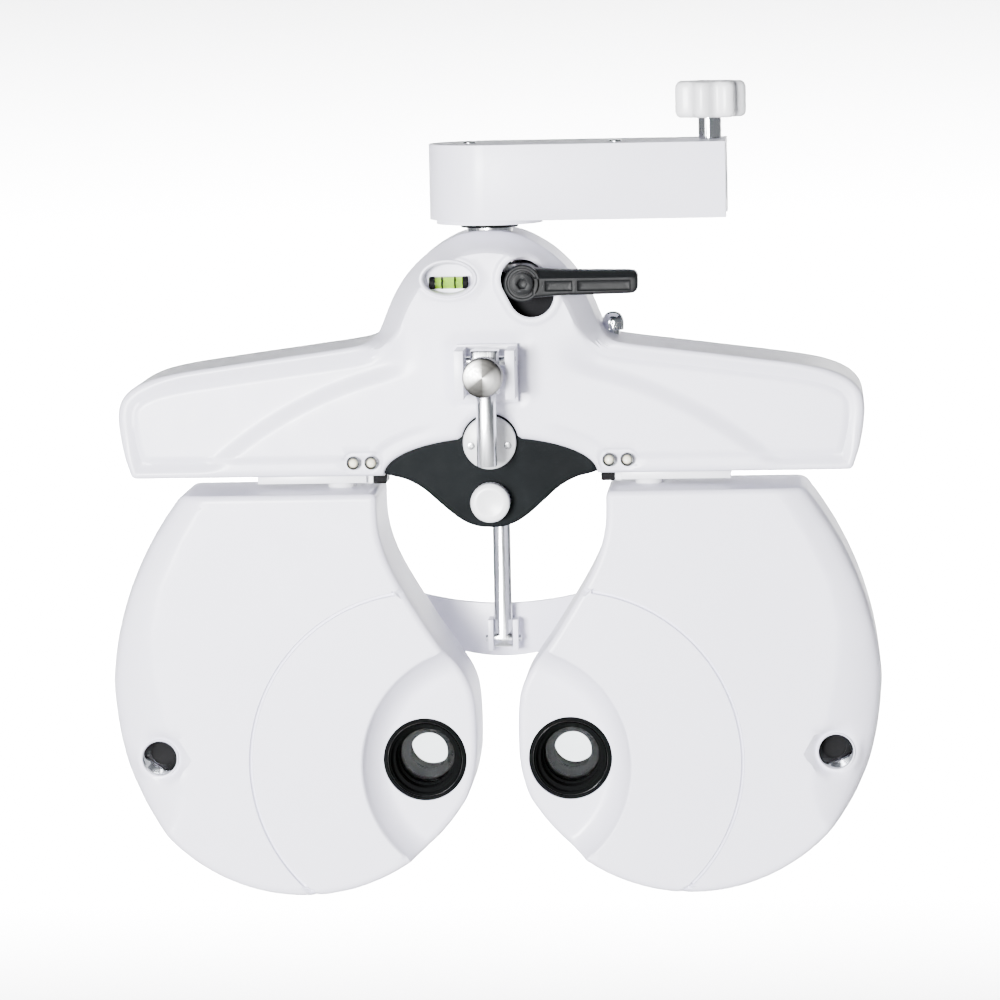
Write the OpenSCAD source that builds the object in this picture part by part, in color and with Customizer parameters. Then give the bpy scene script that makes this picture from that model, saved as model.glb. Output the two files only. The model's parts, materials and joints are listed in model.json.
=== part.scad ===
// Motorised refractor head hung from a stand arm.
// +X is to the examiner's right, +Y points at the patient, +Z is up.
// The origin is the mouth of the stand socket in the arm.
// Inside the file the parts are drawn about the middle of the two eye axes
// on the front plane, and place() carries them to the origin above.

/* [Eye units] */
// Distance between the two eye axes at rest
pd = 64; // [62:0.5:70]
// Depth of an eye unit from front to back
unit_d = 62; // [60:0.5:64]
// Wall of the moulded shells
wall = 2.5; // [2:0.1:2.6]
// Depth of the dish around the objective
dish_depth = 12; // [10:0.5:13]
// Radius of the rim of the dish
dish_r = 54; // [53:0.5:55]
// Radius of the objective barrel
barrel_r = 18; // [17.5:0.1:18.1]
// Radius of the clear window in the eyepiece
eye_bore_r = 9.6; // [9.5:0.1:11]
// Radius of the cornea sighting window
sight_r = 8.2; // [7.6:0.1:8.4]

/* [Lens wheels] */
// Number of lens seats in a wheel
lens_seats = 12; // [8:1:16]
// Radius of one lens seat
lens_r = 8.3; // [7:0.1:8.6]
// Thickness of a lens wheel
wheel_t = 3; // [2.5:0.1:3.5]

/* [Head] */
// Depth of the head covers from front to back
head_d = 64; // [62:0.5:66]
// Radius of the guide rails
rail_r = 4; // [3.5:0.1:4.2]
// Radius of the forehead adjusting knob
brow_knob_r = 8.6; // [7.5:0.1:9]
// Length of the clamp lever from its axis to its tip
lever_len = 49.6; // [42:0.2:55]

/* [Arm] */
// Length of the arm from the swivel axis to the socket mouth
arm_len = 104; // [104:1:104]
// Half the width of the arm
arm_r = 26; // [25:0.5:27]
// Radius of the stand socket
socket_r = 11; // [8:0.5:12]
// Depth of the stand socket
socket_len = 60; // [45:1:60]
// Outer radius of the star knob
star_r = 16; // [14:0.5:18]

/* [Hidden] */
$fn = 64;

// Socket mouth in drawing coordinates
sock = [arm_len, 32, 253];
// Plane where the front and rear shells of an eye unit meet
part_y = 44;
// Axis of the lens wheels, measured outward and up from the eye axis
wh_u = 53;
wh_z = 15;
// Centre of the lower circle of the outline
low_u = 53;
// Axis of the sighting window outward of the eye axis
sight_u = 116.4;
// Teeth on each lens wheel and on each drive pinion
wheel_teeth = 90;
pinion_teeth = 12;
// Axis of the convergence pivot in an eye unit
piv_u = 36;
piv_y = 34;
// Level pivot and clamp stud in the head
lev_z = 196;
stud = [16.4, 210.8];

white = [0.93, 0.93, 0.95];
grey = [0.62, 0.64, 0.66];
black = [0.1, 0.1, 0.11];
steel = [0.75, 0.76, 0.78];

// Outline of an eye unit: lower circle, outer upper arc, flat top, nose side
eye_pts = concat(
  [for (a = [210:6:342]) [low_u + 82.2 * cos(a), 23.8 + 82.2 * sin(a)]],
  [[134.1, 10], [135.9, 21], [136.8, 31]],
  [for (a = [4.4:4.3:38.8]) [-12.7 + 150 * cos(a), 25 + 150 * sin(a)]],
  [[103, 119], [18, 119], [18, 112], [17.6, 104], [15.4, 94], [11.8, 85],
   [7, 76], [1.6, 67], [-4, 58], [-9.4, 50], [-14, 43.4], [-18.4, 36.6],
   [-21.4, 30.4], [-22.5, 22], [-22.8, 12], [-22.6, 2], [-21.9, -5], [-20.7, -11]]);

// Outline of the head covers, right half from the arch round to the dome top
wing_half = [[157, 126.7], [160.4, 137], [162.2, 147], [162.6, 155],
  [161, 161], [156.4, 166], [148, 170], [137, 172.6], [118, 175.4],
  [100, 177.8], [80, 180.4], [62, 182.8], [54, 184.4], [49.6, 187],
  [47.4, 191], [45.2, 196.4], [42.6, 202.4], [39, 209], [34, 215.6],
  [28, 221.4], [21, 226.2], [14, 229.6], [7, 231.4], [0, 232]];
arch_right = [for (a = [0:10:90]) [46.5 * sin(a), 126.7 + 16.2 * cos(a)]];
cover_right = concat(arch_right, wing_half);
cover_pts = concat(cover_right,
  [for (i = [len(cover_right) - 2:-1:1]) [-cover_right[i][0], cover_right[i][1]]]);

// Bell shaped lower edge of the fascia
bell_right = [[45.3, 129.4], [45.3, 127], [37, 124.8], [30, 121], [23.5, 115.4], [19, 111.4],
  [15, 108.2], [10.4, 105.4], [5.4, 103.8], [0, 103.4]];
fascia_pts = concat([[0, 155], [40, 155]], bell_right,
  [for (i = [len(bell_right) - 2:-1:0]) [-bell_right[i][0], bell_right[i][1]]],
  [[-40, 155]]);

module place() translate([-sock[0], -sock[1], -sock[2]]) children();
// Carry an eye unit's drawing to its side: 1 is right, -1 is left
module side(s) mirror([s < 0 ? 1 : 0, 0, 0]) translate([pd / 2, 0, 0]) children();
// Extrude an x-z drawing between two depths
module slab(y0, y1) translate([0, y1, 0]) rotate([90, 0, 0]) linear_extrude(y1 - y0) children();
// Cylinder along y, r at y0 and rb at y1
module cy(x, z, r, y0, y1, rb = -1)
  translate([x, y1, z]) rotate([90, 0, 0]) cylinder(h = y1 - y0, r1 = rb < 0 ? r : rb, r2 = r);
module cx(y, z, r, x0, x1) translate([x0, y, z]) rotate([0, 90, 0]) cylinder(h = x1 - x0, r = r);
module cz(x, y, r, z0, z1, rb = -1) translate([x, y, z0]) cylinder(h = z1 - z0, r1 = r, r2 = rb < 0 ? r : rb);
module box(x0, x1, y0, y1, z0, z1) translate([x0, y0, z0]) cube([x1 - x0, y1 - y0, z1 - z0]);
// Oblong of full size w by h with round ends
module oblong(w, h) union() {
  square([w - h, h], center = true);
  for (i = [-1, 1]) translate([i * (w - h) / 2, 0]) circle(d = h);
}
// Gear drawing: n teeth, tip and root radius, tooth widths at tip and root
module gear2d(n, rt, rr, wt, wr) polygon([for (i = [0:n - 1]) let (a = 360 * i / n)
  each [rr * [cos(a - 90 * wr / rr / PI * 1), sin(a - 90 * wr / rr / PI * 1)],
        rt * [cos(a - 90 * wt / rt / PI * 1), sin(a - 90 * wt / rt / PI * 1)],
        rt * [cos(a + 90 * wt / rt / PI * 1), sin(a + 90 * wt / rt / PI * 1)],
        rr * [cos(a + 90 * wr / rr / PI * 1), sin(a + 90 * wr / rr / PI * 1)]]]);

// Pitch radii of wheel and pinion, and the pinion positions round the wheel
mod_g = 1.47;
wheel_rp = mod_g * wheel_teeth / 2;
pin_rp = mod_g * pinion_teeth / 2;
gear_c = wheel_rp + pin_rp;
pin_a = [88, 62];
function pin_pos(k) = [wh_u + gear_c * cos(pin_a[k]), wh_z + gear_c * sin(pin_a[k])];
wheel_y = [34, 40];
// Part of a tooth pitch by which the wheel's teeth pass the line of centres
function mesh_part(k) = pin_a[k] * wheel_teeth / 360 - floor(pin_a[k] * wheel_teeth / 360);

/* ---- arm ---- */
module arm_plan(r, x1) union() { circle(r = r); translate([0, -r]) square([x1, 2 * r]); }
module arm_housing() color(white) difference() {
  translate([0, 32, 236.6]) linear_extrude(32.9) arm_plan(arm_r, arm_len);
  translate([0, 32, 236]) linear_extrude(31.5) arm_plan(arm_r - wall, arm_len - 3);
  box(60, 110, 13.8, 50.2, 236, 266.4);
  cz(97, 32, 5.2, 260, 275);
}
module arm_base_plate() color(white) difference() {
  union() {
    translate([0, 32, 236.8]) linear_extrude(2.6) arm_plan(arm_r - wall - 0.2, arm_len - 3.4);
    cz(0, 32, 23.2, 234.6, 237);
  }
  cz(0, 32, 13.4, 230, 245);
  box(99, 110, 13, 51, 230, 245);
}
module arm_core() color(steel) difference() {
  union() {
    translate([0, 32, 239.6]) linear_extrude(21) arm_plan(18, 60);
    box(44, 104, 14, 50, 239.6, 266);
  }
  translate([sock[0] + 1, 32, 253]) rotate([0, -90, 0]) cylinder(h = socket_len + 1, r = socket_r);
  cz(0, 32, 13, 230, 270);
  cz(97, 32, 4.05, 253, 270);
}
module swivel_bush() color("goldenrod") difference() {
  union() { cz(0, 32, 12.98, 236.2, 260.6); cz(0, 32, 13.2, 234.8, 239.4); }
  cz(0, 32, 10.05, 230, 265);
}
module star_knob() color(white) union() {
  cz(97, 32, 4, 264.6, 272);
  cz(97, 32, 5, 269.8, 279);
  translate([97, 32, 278.8]) linear_extrude(16) union() {
    circle(r = star_r - 2.6);
    for (i = [0:6]) rotate(i * 360 / 7) translate([star_r - 3.6, 0]) circle(r = 3.6);
  }
}

/* ---- swivel ---- */
module swivel_shaft() color(steel) union() {
  cz(0, 32, 10, 203, 261);
  cz(0, 32, 15, 261, 264.4);
}
module thrust_washer() color(black) difference() {
  cz(0, 32, 12.6, 232.8, 234.4);
  cz(0, 32, 10.06, 230, 240);
}
module tilt_plate() color(grey) difference() {
  union() {
    box(-16, 24, 21, 43, 172, 217);
    box(20, 58, 34, 46, 172, 175);
    cy(0, lev_z, 5, 13, 22);
  }
  cz(0, 32, 10.02, 203, 220);
  cy(stud[0], stud[1], 3.99, 20, 30);
}
module lever_stud() color(black) union() {
  cy(stud[0], stud[1], 3.97, -14.2, 30);
  difference() {
    cy(stud[0], stud[1], 4.8, -16.8, -14.2);
    translate([stud[0], -15, stud[1]]) rotate([90, 0, 0]) cylinder(h = 4, r = 2.3, $fn = 6);
  }
}
module clamp_lever() color(black) difference() {
  union() {
    cy(stud[0], stud[1], 8, -14, 13.6);
    translate([stud[0], 0, stud[1]]) slab(-14, -4.5)
      polygon([[0, -7.6], [16, -5.4], [lever_len - 2, -5], [lever_len, -3], [lever_len, 3],
               [lever_len - 2, 5], [16, 5.4], [0, 7.6]]);
  }
  cy(stud[0], stud[1], 4.05, -20, 20);
}

/* ---- head ---- */
module head_frame() color(steel) difference() {
  union() {
    box(-150, 150, 14, 54, 160, 166);
    slab(14, 20) polygon([[-34, 160], [34, 160], [34, 190], [25, 213.5], [-25, 213.5], [-34, 190]]);
    for (s = [-1, 1]) box(s * 147 - 3, s * 147 + 3, 22, 58, 138, 162);
  }
  cy(0, lev_z, 5.05, 10, 25);
  for (a = [-6:3:6]) translate([0, 0, lev_z]) rotate([0, a, 0]) translate([0, 0, -lev_z])
    cy(stud[0], stud[1], 5, 10, 25);
  box(-20, 58, 20.2, 56, 158, 168);
  for (y = [30, 50]) cx(y, 150, rail_r + 0.01, -152, 152);
}
module cover_shell(y0, y1, yc0, yc1) difference() {
  slab(y0, y1) polygon(cover_pts);
  slab(yc0, yc1) offset(delta = -wall) polygon(cover_pts);
  for (s = [-1, 1]) box(s * 68.5 - 21.5, s * 68.5 + 21.5, 24.4, 43.6, 120, 131);
  cz(0, 32, 14.6, 222, 240);
  box(-45.6, 45.6, wall, 9.6, 100, 160);
}
module front_cover() color(white) difference() {
  cover_shell(0, 32, wall, 40);
  slab(-1, 5) hull() {
    translate([stud[0] - 0.4, stud[1] + 0.6]) circle(r = 9.8, $fn = 40);
    translate([stud[0] + 3, stud[1] - 6]) circle(r = 9.8, $fn = 40);
  }
  translate([-16.6, 0, 212.3]) slab(-1, 5) oblong(23.8, 15.6);
  for (x = [-59.6, -51.8, 51.8, 59.6]) cy(x, 132.7, 3.05, -1, 6.2);
  cy(0, 140.8, 12.4, -1, 3);
}
module rear_cover() color(white) difference() {
  cover_shell(32.2, head_d, 30, head_d - wall);
  cz(53, 40, 3.4, 178, 190);
  cz(53, 40, 5.15, 185.4, 200);
  cy(70, 152, 7.4, 55, 70);
  slab(40, 70) translate([-10.6, 100]) square([21.2, 27.4]);
}
module level_bezel() color(white) translate([-16.6, 0, 212.3]) difference() {
  union() { slab(-1, 0) oblong(25.8, 17.6); slab(-0.5, 9) oblong(23.6, 15.4); }
  slab(-2, 7.6) oblong(21.6, 12);
}
module level_vial() color([0.7, 0.85, 0.2]) cx(4.2, 210.4, 2.6, -25, -8.2);
module centre_fascia() color(black) difference() {
  union() {
    slab(3, 9) polygon(fascia_pts);
    box(-9.6, 9.6, 8.5, 46, 106, 124);
  }
  box(-6.4, 6.4, 14, 50, 108.6, 121.4);
  cy(0, 115, 3.3, 0, 20);
}
module hub_disc() color(steel) union() {
  cy(0, 140.8, 11.6, -0.6, 3);
  for (x = [-8, 8]) cy(x, 139.6, 1.6, -1.4, 0);
}
module rod_bracket() color(white) difference() {
  union() {
    box(-13, 13, -3, 0, 158.6, 184);
    for (s = [-1, 1]) box(s * 11 - 2, s * 11 + 2, -26, 0, 162, 183);
  }
  cx(-18, 178, 2, -20, 20);
}
module near_rod_pin() color(steel) cx(-18, 178, 1.98, -13.4, 13.4);
module near_lights() color([0.95, 0.93, 0.8]) for (x = [-59.6, -51.8, 51.8, 59.6]) union() {
  cy(x, 132.7, 3, -0.4, 6);
  cy(x, 132.7, 2, -1.4, 0, 2.7);
}
module guide_rails() color(steel) for (y = [30, 50]) cx(y, 150, rail_r, -149.8, 149.8);
module pd_motors() color(black) for (s = [-1, 1]) mirror([s < 0 ? 1 : 0, 0, 0]) union() {
  cx(40, 150, 5.4, 118, 143.8);
  cx(40, 150, 2, 46, 119);
}
module cable_socket() color(black) difference() {
  union() { cy(70, 152, 7.3, 58, head_d + 1); cy(70, 152, 9.4, head_d, head_d + 3); }
  cy(70, 152, 5, 61, head_d + 5);
}
module level_knob() color(steel) union() {
  cz(53, 40, 3, 179.6, 187);
  cz(53, 40, 4.8, 186, 192);
  translate([53, 40, 192]) intersection() { sphere(r = 4.8); cz(0, 0, 6, 0, 6); }
}
module near_rod_bar() color(steel) difference() {
  union() {
    box(-6.2, 6.2, -24, -12, 164, 183);
    box(-4.3, 4.3, -22.7, -13.3, 132.4, 165);
  }
  cx(-18, 178, 2.04, -20, 20);
  cz(0, -18, 3, 120, 173);
  cy(0, 172.6, 2.05, -30, -20);
}
module near_rod_knob() color(steel) union() {
  cy(0, 172.6, 2, -31, -21.4);
  cy(0, 172.6, 4, -31, -24.4);
  cy(0, 172.6, 8.7, -40, -30.6);
}

/* ---- forehead rest ---- */
module forehead_slider() color(grey) difference() {
  union() { box(-6, 6, 19, 76, 109, 121); box(-5, 5, 64, 76, 105, 109); }
  cy(0, 115, 3.4, 10, 62);
}
module forehead_rod() color(steel) difference() {
  union() { cz(0, 70, 4, 45.3, 105); cx(70, 45.3, 4, -4, 4); }
  cx(70, 45.3, 1.55, -10, 10);
}
module forehead_knob() color(white) union() {
  cy(0, 115, brow_knob_r, -6, 2.7);
  cy(0, 115, 3, 2, 50);
}
// Curved band seen from the front, ends raised a little
rest_top = [for (x = [-46:4:46]) [x, 60 + 0.0030 * x * x]];
rest_bot = [for (x = [46:-4:-46]) [x, 36 + 0.0062 * x * x]];
module rest_plan(r0, r1) intersection() {
  difference() { circle(r = r1, $fn = 180); circle(r = r0, $fn = 180); }
  translate([-46, -200]) square([92, 160]);
}
// Bend of the rest: a ring about an upright axis in front of the patient
module forehead_rest() color(white) difference() {
  union() {
    intersection() {
      translate([0, 78 + 130, 30]) linear_extrude(50) rest_plan(127, 130);
      slab(70, 100) polygon(concat(rest_top, rest_bot));
    }
    for (s = [-1, 1]) box(s * 5.6 - 1.2, s * 5.6 + 1.2, 66, 79.5, 40, 54);
  }
  cx(70, 45.3, 1.5, -12, 12);
}
module forehead_pad() color(grey) intersection() {
  translate([0, 78 + 130, 30]) linear_extrude(50) rest_plan(122.6, 126.96);
  slab(70, 110) offset(delta = -3) polygon(concat(rest_top, rest_bot));
}
module forehead_pin() color(steel) cx(70, 45.3, 1.48, -8, 8);

/* ---- carriages and eye units ---- */
module carriage(s) color(steel) side(s) difference() {
  union() {
    box(24, 72, 24, 56, 142, 158);
    box(24, 48, 25.4, 42.6, 125, 143);
    box(24, 72, 22, 46, 121.6, 125.8);
    cz(piv_u, piv_y, 6, 101.6, 122);
  }
  for (y = [30, 50]) cx(y, 150, rail_r + 0.06, 0, 100);
  cx(40, 150, 2.4, 0, 100);
}
module eye_outline() polygon(eye_pts);
module dish(g) cy(-27.5, 0, dish_r + g, -0.01, dish_depth + g, dish_r - 8 + g);
module eye_front_shell(s) color(white) side(s) difference() {
  slab(0, part_y) eye_outline();
  difference() {
    slab(wall, part_y + 1) offset(delta = -wall) eye_outline();
    cy(-27.5, 0, dish_r + wall, -1, dish_depth + wall, dish_r - 8 + wall);
  }
  cy(-27.5, 0, dish_r, -0.01, dish_depth, dish_r - 8);
  cy(0, 0, barrel_r + 0.3, 5, 22.3);
  cy(sight_u, 3, sight_r + 0.2, -1, 5);
  cz(piv_u, piv_y, 8.4, 110, 125);
}
module eye_rear_shell(s) color(white) side(s) difference() {
  slab(part_y + 0.2, unit_d) eye_outline();
  slab(part_y - 1, unit_d - wall) offset(delta = -wall) eye_outline();
  cy(0, 0, 15.9, 50, 70);
}
module eye_chassis(s) color(grey) side(s) difference() {
  union() {
    slab(29, 31.5) offset(delta = -wall - 0.8) eye_outline();
    cy(wh_u, wh_z, 5, 31, 46);
    cy(wh_u, wh_z, 8, 31, 33.4);
    box(27, 45, 24, 43, 101.8, 115.4);
  }
  cz(piv_u, piv_y, 6.05, 95, 120);
  cy(0, 0, 11, 25, 35);
  for (k = [0, 1]) cy(pin_pos(k)[0], pin_pos(k)[1], 2.6, 25, 35);
}
module ring_profile(pts) rotate([90, 0, 0]) rotate_extrude() polygon(pts);
// Profiles give [radius, -depth]
module objective_barrel(s) color(black) side(s) ring_profile([[15.4, -10.8], [barrel_r, -10.8],
  [barrel_r, -22], [16, -22], [16, -28.9], [12.4, -28.9], [12.4, -26.6], [11.4, -26.6],
  [11.4, -22], [13.4, -22], [13.4, -16], [15.4, -16]]);
module eyepiece(s) color(black) side(s) ring_profile([[eye_bore_r, -48], [15.6, -48],
  [15.6, -57], [16.3, -57], [16.3, -59.4], [15.6, -59.4], [15.6, -64], [13.6, -64], [13.6, -60.2],
  [eye_bore_r, -60.2]]);
module windows(s) color([0.75, 0.85, 0.9]) side(s) union() {
  cy(0, 0, 12.3, 26.7, 28.8);
  cy(0, 0, 13.5, 60.3, 61.8);
}
module wheel_motors(s) color(black) side(s) for (k = [0, 1]) union() {
  cy(pin_pos(k)[0], pin_pos(k)[1], 9.8, 6, 28.9);
  cy(pin_pos(k)[0], pin_pos(k)[1], 1.5, 28, 44);
}
module sight_window(s) color(white) side(s) union() {
  difference() { cy(sight_u, 3, sight_r, 1, 24); cy(sight_u, 3, sight_r - 1.7, 0, 22.4); }
  translate([sight_u, 17, 3]) rotate([0, 0, 45]) box(-6, 6, -0.6, 0.6, -3.6, 3.6);
}
module face_shield(s) color(white) side(s) ring_profile([[17, -62.2], [20.4, -62.2],
  [24, -71], [24, -72.4], [22.4, -72.4], [19.2, -64.4], [17, -64.4]]);
module lens_wheel(s, k) color(steel) side(s) translate([wh_u, wheel_y[k] + wheel_t, wh_z]) rotate([90, 0, 0])
  difference() {
    linear_extrude(wheel_t) difference() {
      gear2d(wheel_teeth, wheel_rp + 0.8, wheel_rp - 1.05, 1.1, 2.1);
      circle(r = 5.06);
    }
    for (i = [0:lens_seats - 1]) rotate(180 + atan(wh_z / wh_u) + i * 360 / lens_seats)
      translate([norm([wh_u, wh_z]), 0, -1]) cylinder(h = wheel_t + 2, r = lens_r, $fn = 32);
    for (i = [0:5]) rotate(i * 60) translate([27, 0, -1]) cylinder(h = wheel_t + 2, r = 8, $fn = 32);
  }
module pinion(s, k) color("goldenrod") side(s)
  translate([pin_pos(k)[0], wheel_y[k] + wheel_t + 0.4, pin_pos(k)[1]]) rotate([90, 0, 0]) rotate(pin_a[k] + 180 + 180 / pinion_teeth - mesh_part(k) * 360 / pinion_teeth)
    linear_extrude(wheel_t + 0.8) difference() {
      gear2d(pinion_teeth, pin_rp + 0.75, pin_rp - 1.15, 1.0, 2.1);
      circle(r = 1.56);
    }

place() arm_housing();
place() arm_base_plate();
place() arm_core();
place() swivel_bush();
place() star_knob();
place() swivel_shaft();
place() thrust_washer();
place() tilt_plate();
place() lever_stud();
place() clamp_lever();
place() head_frame();
place() front_cover();
place() rear_cover();
place() level_bezel();
place() level_vial();
place() centre_fascia();
place() hub_disc();
place() rod_bracket();
place() near_rod_pin();
place() near_lights();
place() guide_rails();
place() pd_motors();
place() cable_socket();
place() level_knob();
place() near_rod_bar();
place() near_rod_knob();
place() forehead_slider();
place() forehead_rod();
place() forehead_knob();
place() forehead_rest();
place() forehead_pad();
place() forehead_pin();
place() carriage(1);  // carriage_right
place() carriage(-1);  // carriage_left
place() eye_front_shell(1);  // eye_front_shell_right
place() eye_front_shell(-1);  // eye_front_shell_left
place() eye_rear_shell(1);  // eye_rear_shell_right
place() eye_rear_shell(-1);  // eye_rear_shell_left
place() eye_chassis(1);  // eye_chassis_right
place() eye_chassis(-1);  // eye_chassis_left
place() objective_barrel(1);  // objective_barrel_right
place() objective_barrel(-1);  // objective_barrel_left
place() eyepiece(1);  // eyepiece_right
place() eyepiece(-1);  // eyepiece_left
place() windows(1);  // windows_right
place() windows(-1);  // windows_left
place() wheel_motors(1);  // wheel_motors_right
place() wheel_motors(-1);  // wheel_motors_left
place() sight_window(1);  // sight_window_right
place() sight_window(-1);  // sight_window_left
place() face_shield(1);  // face_shield_right
place() face_shield(-1);  // face_shield_left
place() lens_wheel(1, 0);  // sphere_wheel_right
place() lens_wheel(-1, 0);  // sphere_wheel_left
place() lens_wheel(1, 1);  // cylinder_wheel_right
place() lens_wheel(-1, 1);  // cylinder_wheel_left
place() pinion(1, 0);  // sphere_pinion_right
place() pinion(-1, 0);  // sphere_pinion_left
place() pinion(1, 1);  // cylinder_pinion_right
place() pinion(-1, 1);  // cylinder_pinion_left
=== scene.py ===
import bpy, bmesh, json, math
import numpy as np
from mathutils import Matrix, Vector
from mathutils.geometry import delaunay_2d_cdt

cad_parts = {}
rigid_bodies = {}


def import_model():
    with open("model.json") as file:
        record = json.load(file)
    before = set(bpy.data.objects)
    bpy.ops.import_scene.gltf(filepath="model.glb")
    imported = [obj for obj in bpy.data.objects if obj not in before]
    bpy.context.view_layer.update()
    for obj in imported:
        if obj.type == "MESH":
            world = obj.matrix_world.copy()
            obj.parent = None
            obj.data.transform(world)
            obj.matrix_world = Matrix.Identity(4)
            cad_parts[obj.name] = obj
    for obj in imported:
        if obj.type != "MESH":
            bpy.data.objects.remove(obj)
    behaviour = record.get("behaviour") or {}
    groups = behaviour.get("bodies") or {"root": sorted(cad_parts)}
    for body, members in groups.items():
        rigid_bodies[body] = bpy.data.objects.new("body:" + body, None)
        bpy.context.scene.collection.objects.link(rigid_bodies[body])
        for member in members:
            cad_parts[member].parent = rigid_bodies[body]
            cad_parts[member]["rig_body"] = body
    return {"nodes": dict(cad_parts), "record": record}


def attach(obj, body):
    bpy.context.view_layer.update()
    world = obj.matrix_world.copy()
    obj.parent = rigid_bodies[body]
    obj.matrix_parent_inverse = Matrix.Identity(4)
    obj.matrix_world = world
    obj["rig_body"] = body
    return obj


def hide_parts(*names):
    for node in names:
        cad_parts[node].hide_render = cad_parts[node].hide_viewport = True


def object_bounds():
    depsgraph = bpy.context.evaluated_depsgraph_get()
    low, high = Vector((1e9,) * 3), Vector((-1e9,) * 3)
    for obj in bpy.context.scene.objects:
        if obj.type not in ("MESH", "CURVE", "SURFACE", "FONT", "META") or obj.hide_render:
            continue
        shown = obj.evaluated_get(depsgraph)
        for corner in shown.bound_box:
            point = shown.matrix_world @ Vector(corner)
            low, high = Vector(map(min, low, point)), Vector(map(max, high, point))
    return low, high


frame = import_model()
cad_lo, cad_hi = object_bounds()
nodes = frame["nodes"]
slots = {s["node"]: s["material_slot"] for s in frame["record"]["subparts"]}
OFF = np.array([-104.0, -32.0, -253.0])        # drawing millimetres to the row frame
rad = math.radians


def P(x, y, z):
    return Vector(((x + OFF[0]) / 1000, (y + OFF[1]) / 1000, (z + OFF[2]) / 1000))


# ------------------------------------------------------------------ materials
def new_mat(name):
    m = bpy.data.materials.new(name)
    m.use_nodes = True
    nt = m.node_tree
    return m, nt, nt.nodes["Principled BSDF"]


def add(nt, kind, **kw):
    n = nt.nodes.new(kind)
    for k, v in kw.items():
        setattr(n, k, v)
    return n


def noise_node(nt, coord, scale, detail=3.0, rough=0.5):
    n = add(nt, "ShaderNodeTexNoise")
    n.inputs["Scale"].default_value = scale
    n.inputs["Detail"].default_value = detail
    n.inputs["Roughness"].default_value = rough
    nt.links.new(coord, n.inputs["Vector"])
    return n.outputs["Fac"]


def span(nt, src, lo, hi, a=0.3, b=0.7):
    n = add(nt, "ShaderNodeMapRange")
    n.inputs["From Min"].default_value = a
    n.inputs["From Max"].default_value = b
    n.inputs["To Min"].default_value = lo
    n.inputs["To Max"].default_value = hi
    nt.links.new(src, n.inputs["Value"])
    return n.outputs["Result"]


def ramp(nt, src, c0, c1, a=0.3, b=0.7):
    n = add(nt, "ShaderNodeValToRGB")
    n.color_ramp.elements[0].position = a
    n.color_ramp.elements[0].color = (*c0, 1)
    n.color_ramp.elements[1].position = b
    n.color_ramp.elements[1].color = (*c1, 1)
    nt.links.new(src, n.inputs["Fac"])
    return n.outputs["Color"]


def bump(nt, bs, src, strength, dist):
    n = add(nt, "ShaderNodeBump")
    n.inputs["Strength"].default_value = strength
    n.inputs["Distance"].default_value = dist
    nt.links.new(src, n.inputs["Height"])
    nt.links.new(n.outputs["Normal"], bs.inputs["Normal"])
    return n


def plastic(name, c0, c1, r0, r1, coat=0.0, coat_r=0.1, grain=2200.0, grain_s=0.05, grain_d=0.0002,
            spec=0.5, cloud=18.0, sss=0.0):
    m, nt, bs = new_mat(name)
    co = add(nt, "ShaderNodeTexCoord").outputs["Object"]
    nt.links.new(ramp(nt, noise_node(nt, co, cloud, 4), c0, c1), bs.inputs["Base Color"])
    nt.links.new(span(nt, noise_node(nt, co, cloud * 6, 5, 0.6), r0, r1), bs.inputs["Roughness"])
    bump(nt, bs, noise_node(nt, co, grain, 2), grain_s, grain_d)
    bs.inputs["Specular IOR Level"].default_value = spec
    bs.inputs["Coat Weight"].default_value = coat
    bs.inputs["Coat Roughness"].default_value = coat_r
    if sss:
        bs.inputs["Subsurface Weight"].default_value = sss
        bs.inputs["Subsurface Radius"].default_value = (0.004, 0.0035, 0.003)
        bs.inputs["Subsurface Scale"].default_value = 0.5
    return m


def metal(name, c0, c1, r0, r1, brush=None, aniso=0.0, grain=900.0, grain_s=0.06, grain_d=0.0001, axis=None):
    m, nt, bs = new_mat(name)
    tc = add(nt, "ShaderNodeTexCoord").outputs["Object"]
    co = tc
    if brush is not None:
        mp = add(nt, "ShaderNodeMapping")
        mp.inputs["Scale"].default_value = brush
        nt.links.new(tc, mp.inputs["Vector"])
        co = mp.outputs["Vector"]
    bs.inputs["Metallic"].default_value = 1.0
    nt.links.new(ramp(nt, noise_node(nt, tc, 60, 3), c0, c1), bs.inputs["Base Color"])
    nt.links.new(span(nt, noise_node(nt, co, grain * 0.5, 4, 0.6), r0, r1), bs.inputs["Roughness"])
    bump(nt, bs, noise_node(nt, co, grain, 3), grain_s, grain_d)
    if aniso:
        bs.inputs["Anisotropic"].default_value = aniso
        if axis:
            tg = add(nt, "ShaderNodeTangent", direction_type="RADIAL", axis=axis)
            nt.links.new(tg.outputs["Tangent"], bs.inputs["Tangent"])
    return m


def glass(name, tint, rough=0.02, ior=1.45, smudge=0.05, coat=0.0):
    m, nt, bs = new_mat(name)
    co = add(nt, "ShaderNodeTexCoord").outputs["Object"]
    nt.links.new(ramp(nt, noise_node(nt, co, 90, 3), tint, tuple(min(1, t * 1.03) for t in tint)), bs.inputs["Base Color"])
    nt.links.new(span(nt, noise_node(nt, co, 160, 4, 0.6), rough, rough + smudge), bs.inputs["Roughness"])
    bs.inputs["Transmission Weight"].default_value = 1.0
    bs.inputs["IOR"].default_value = ior
    bs.inputs["Coat Weight"].default_value = coat
    return m


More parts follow.
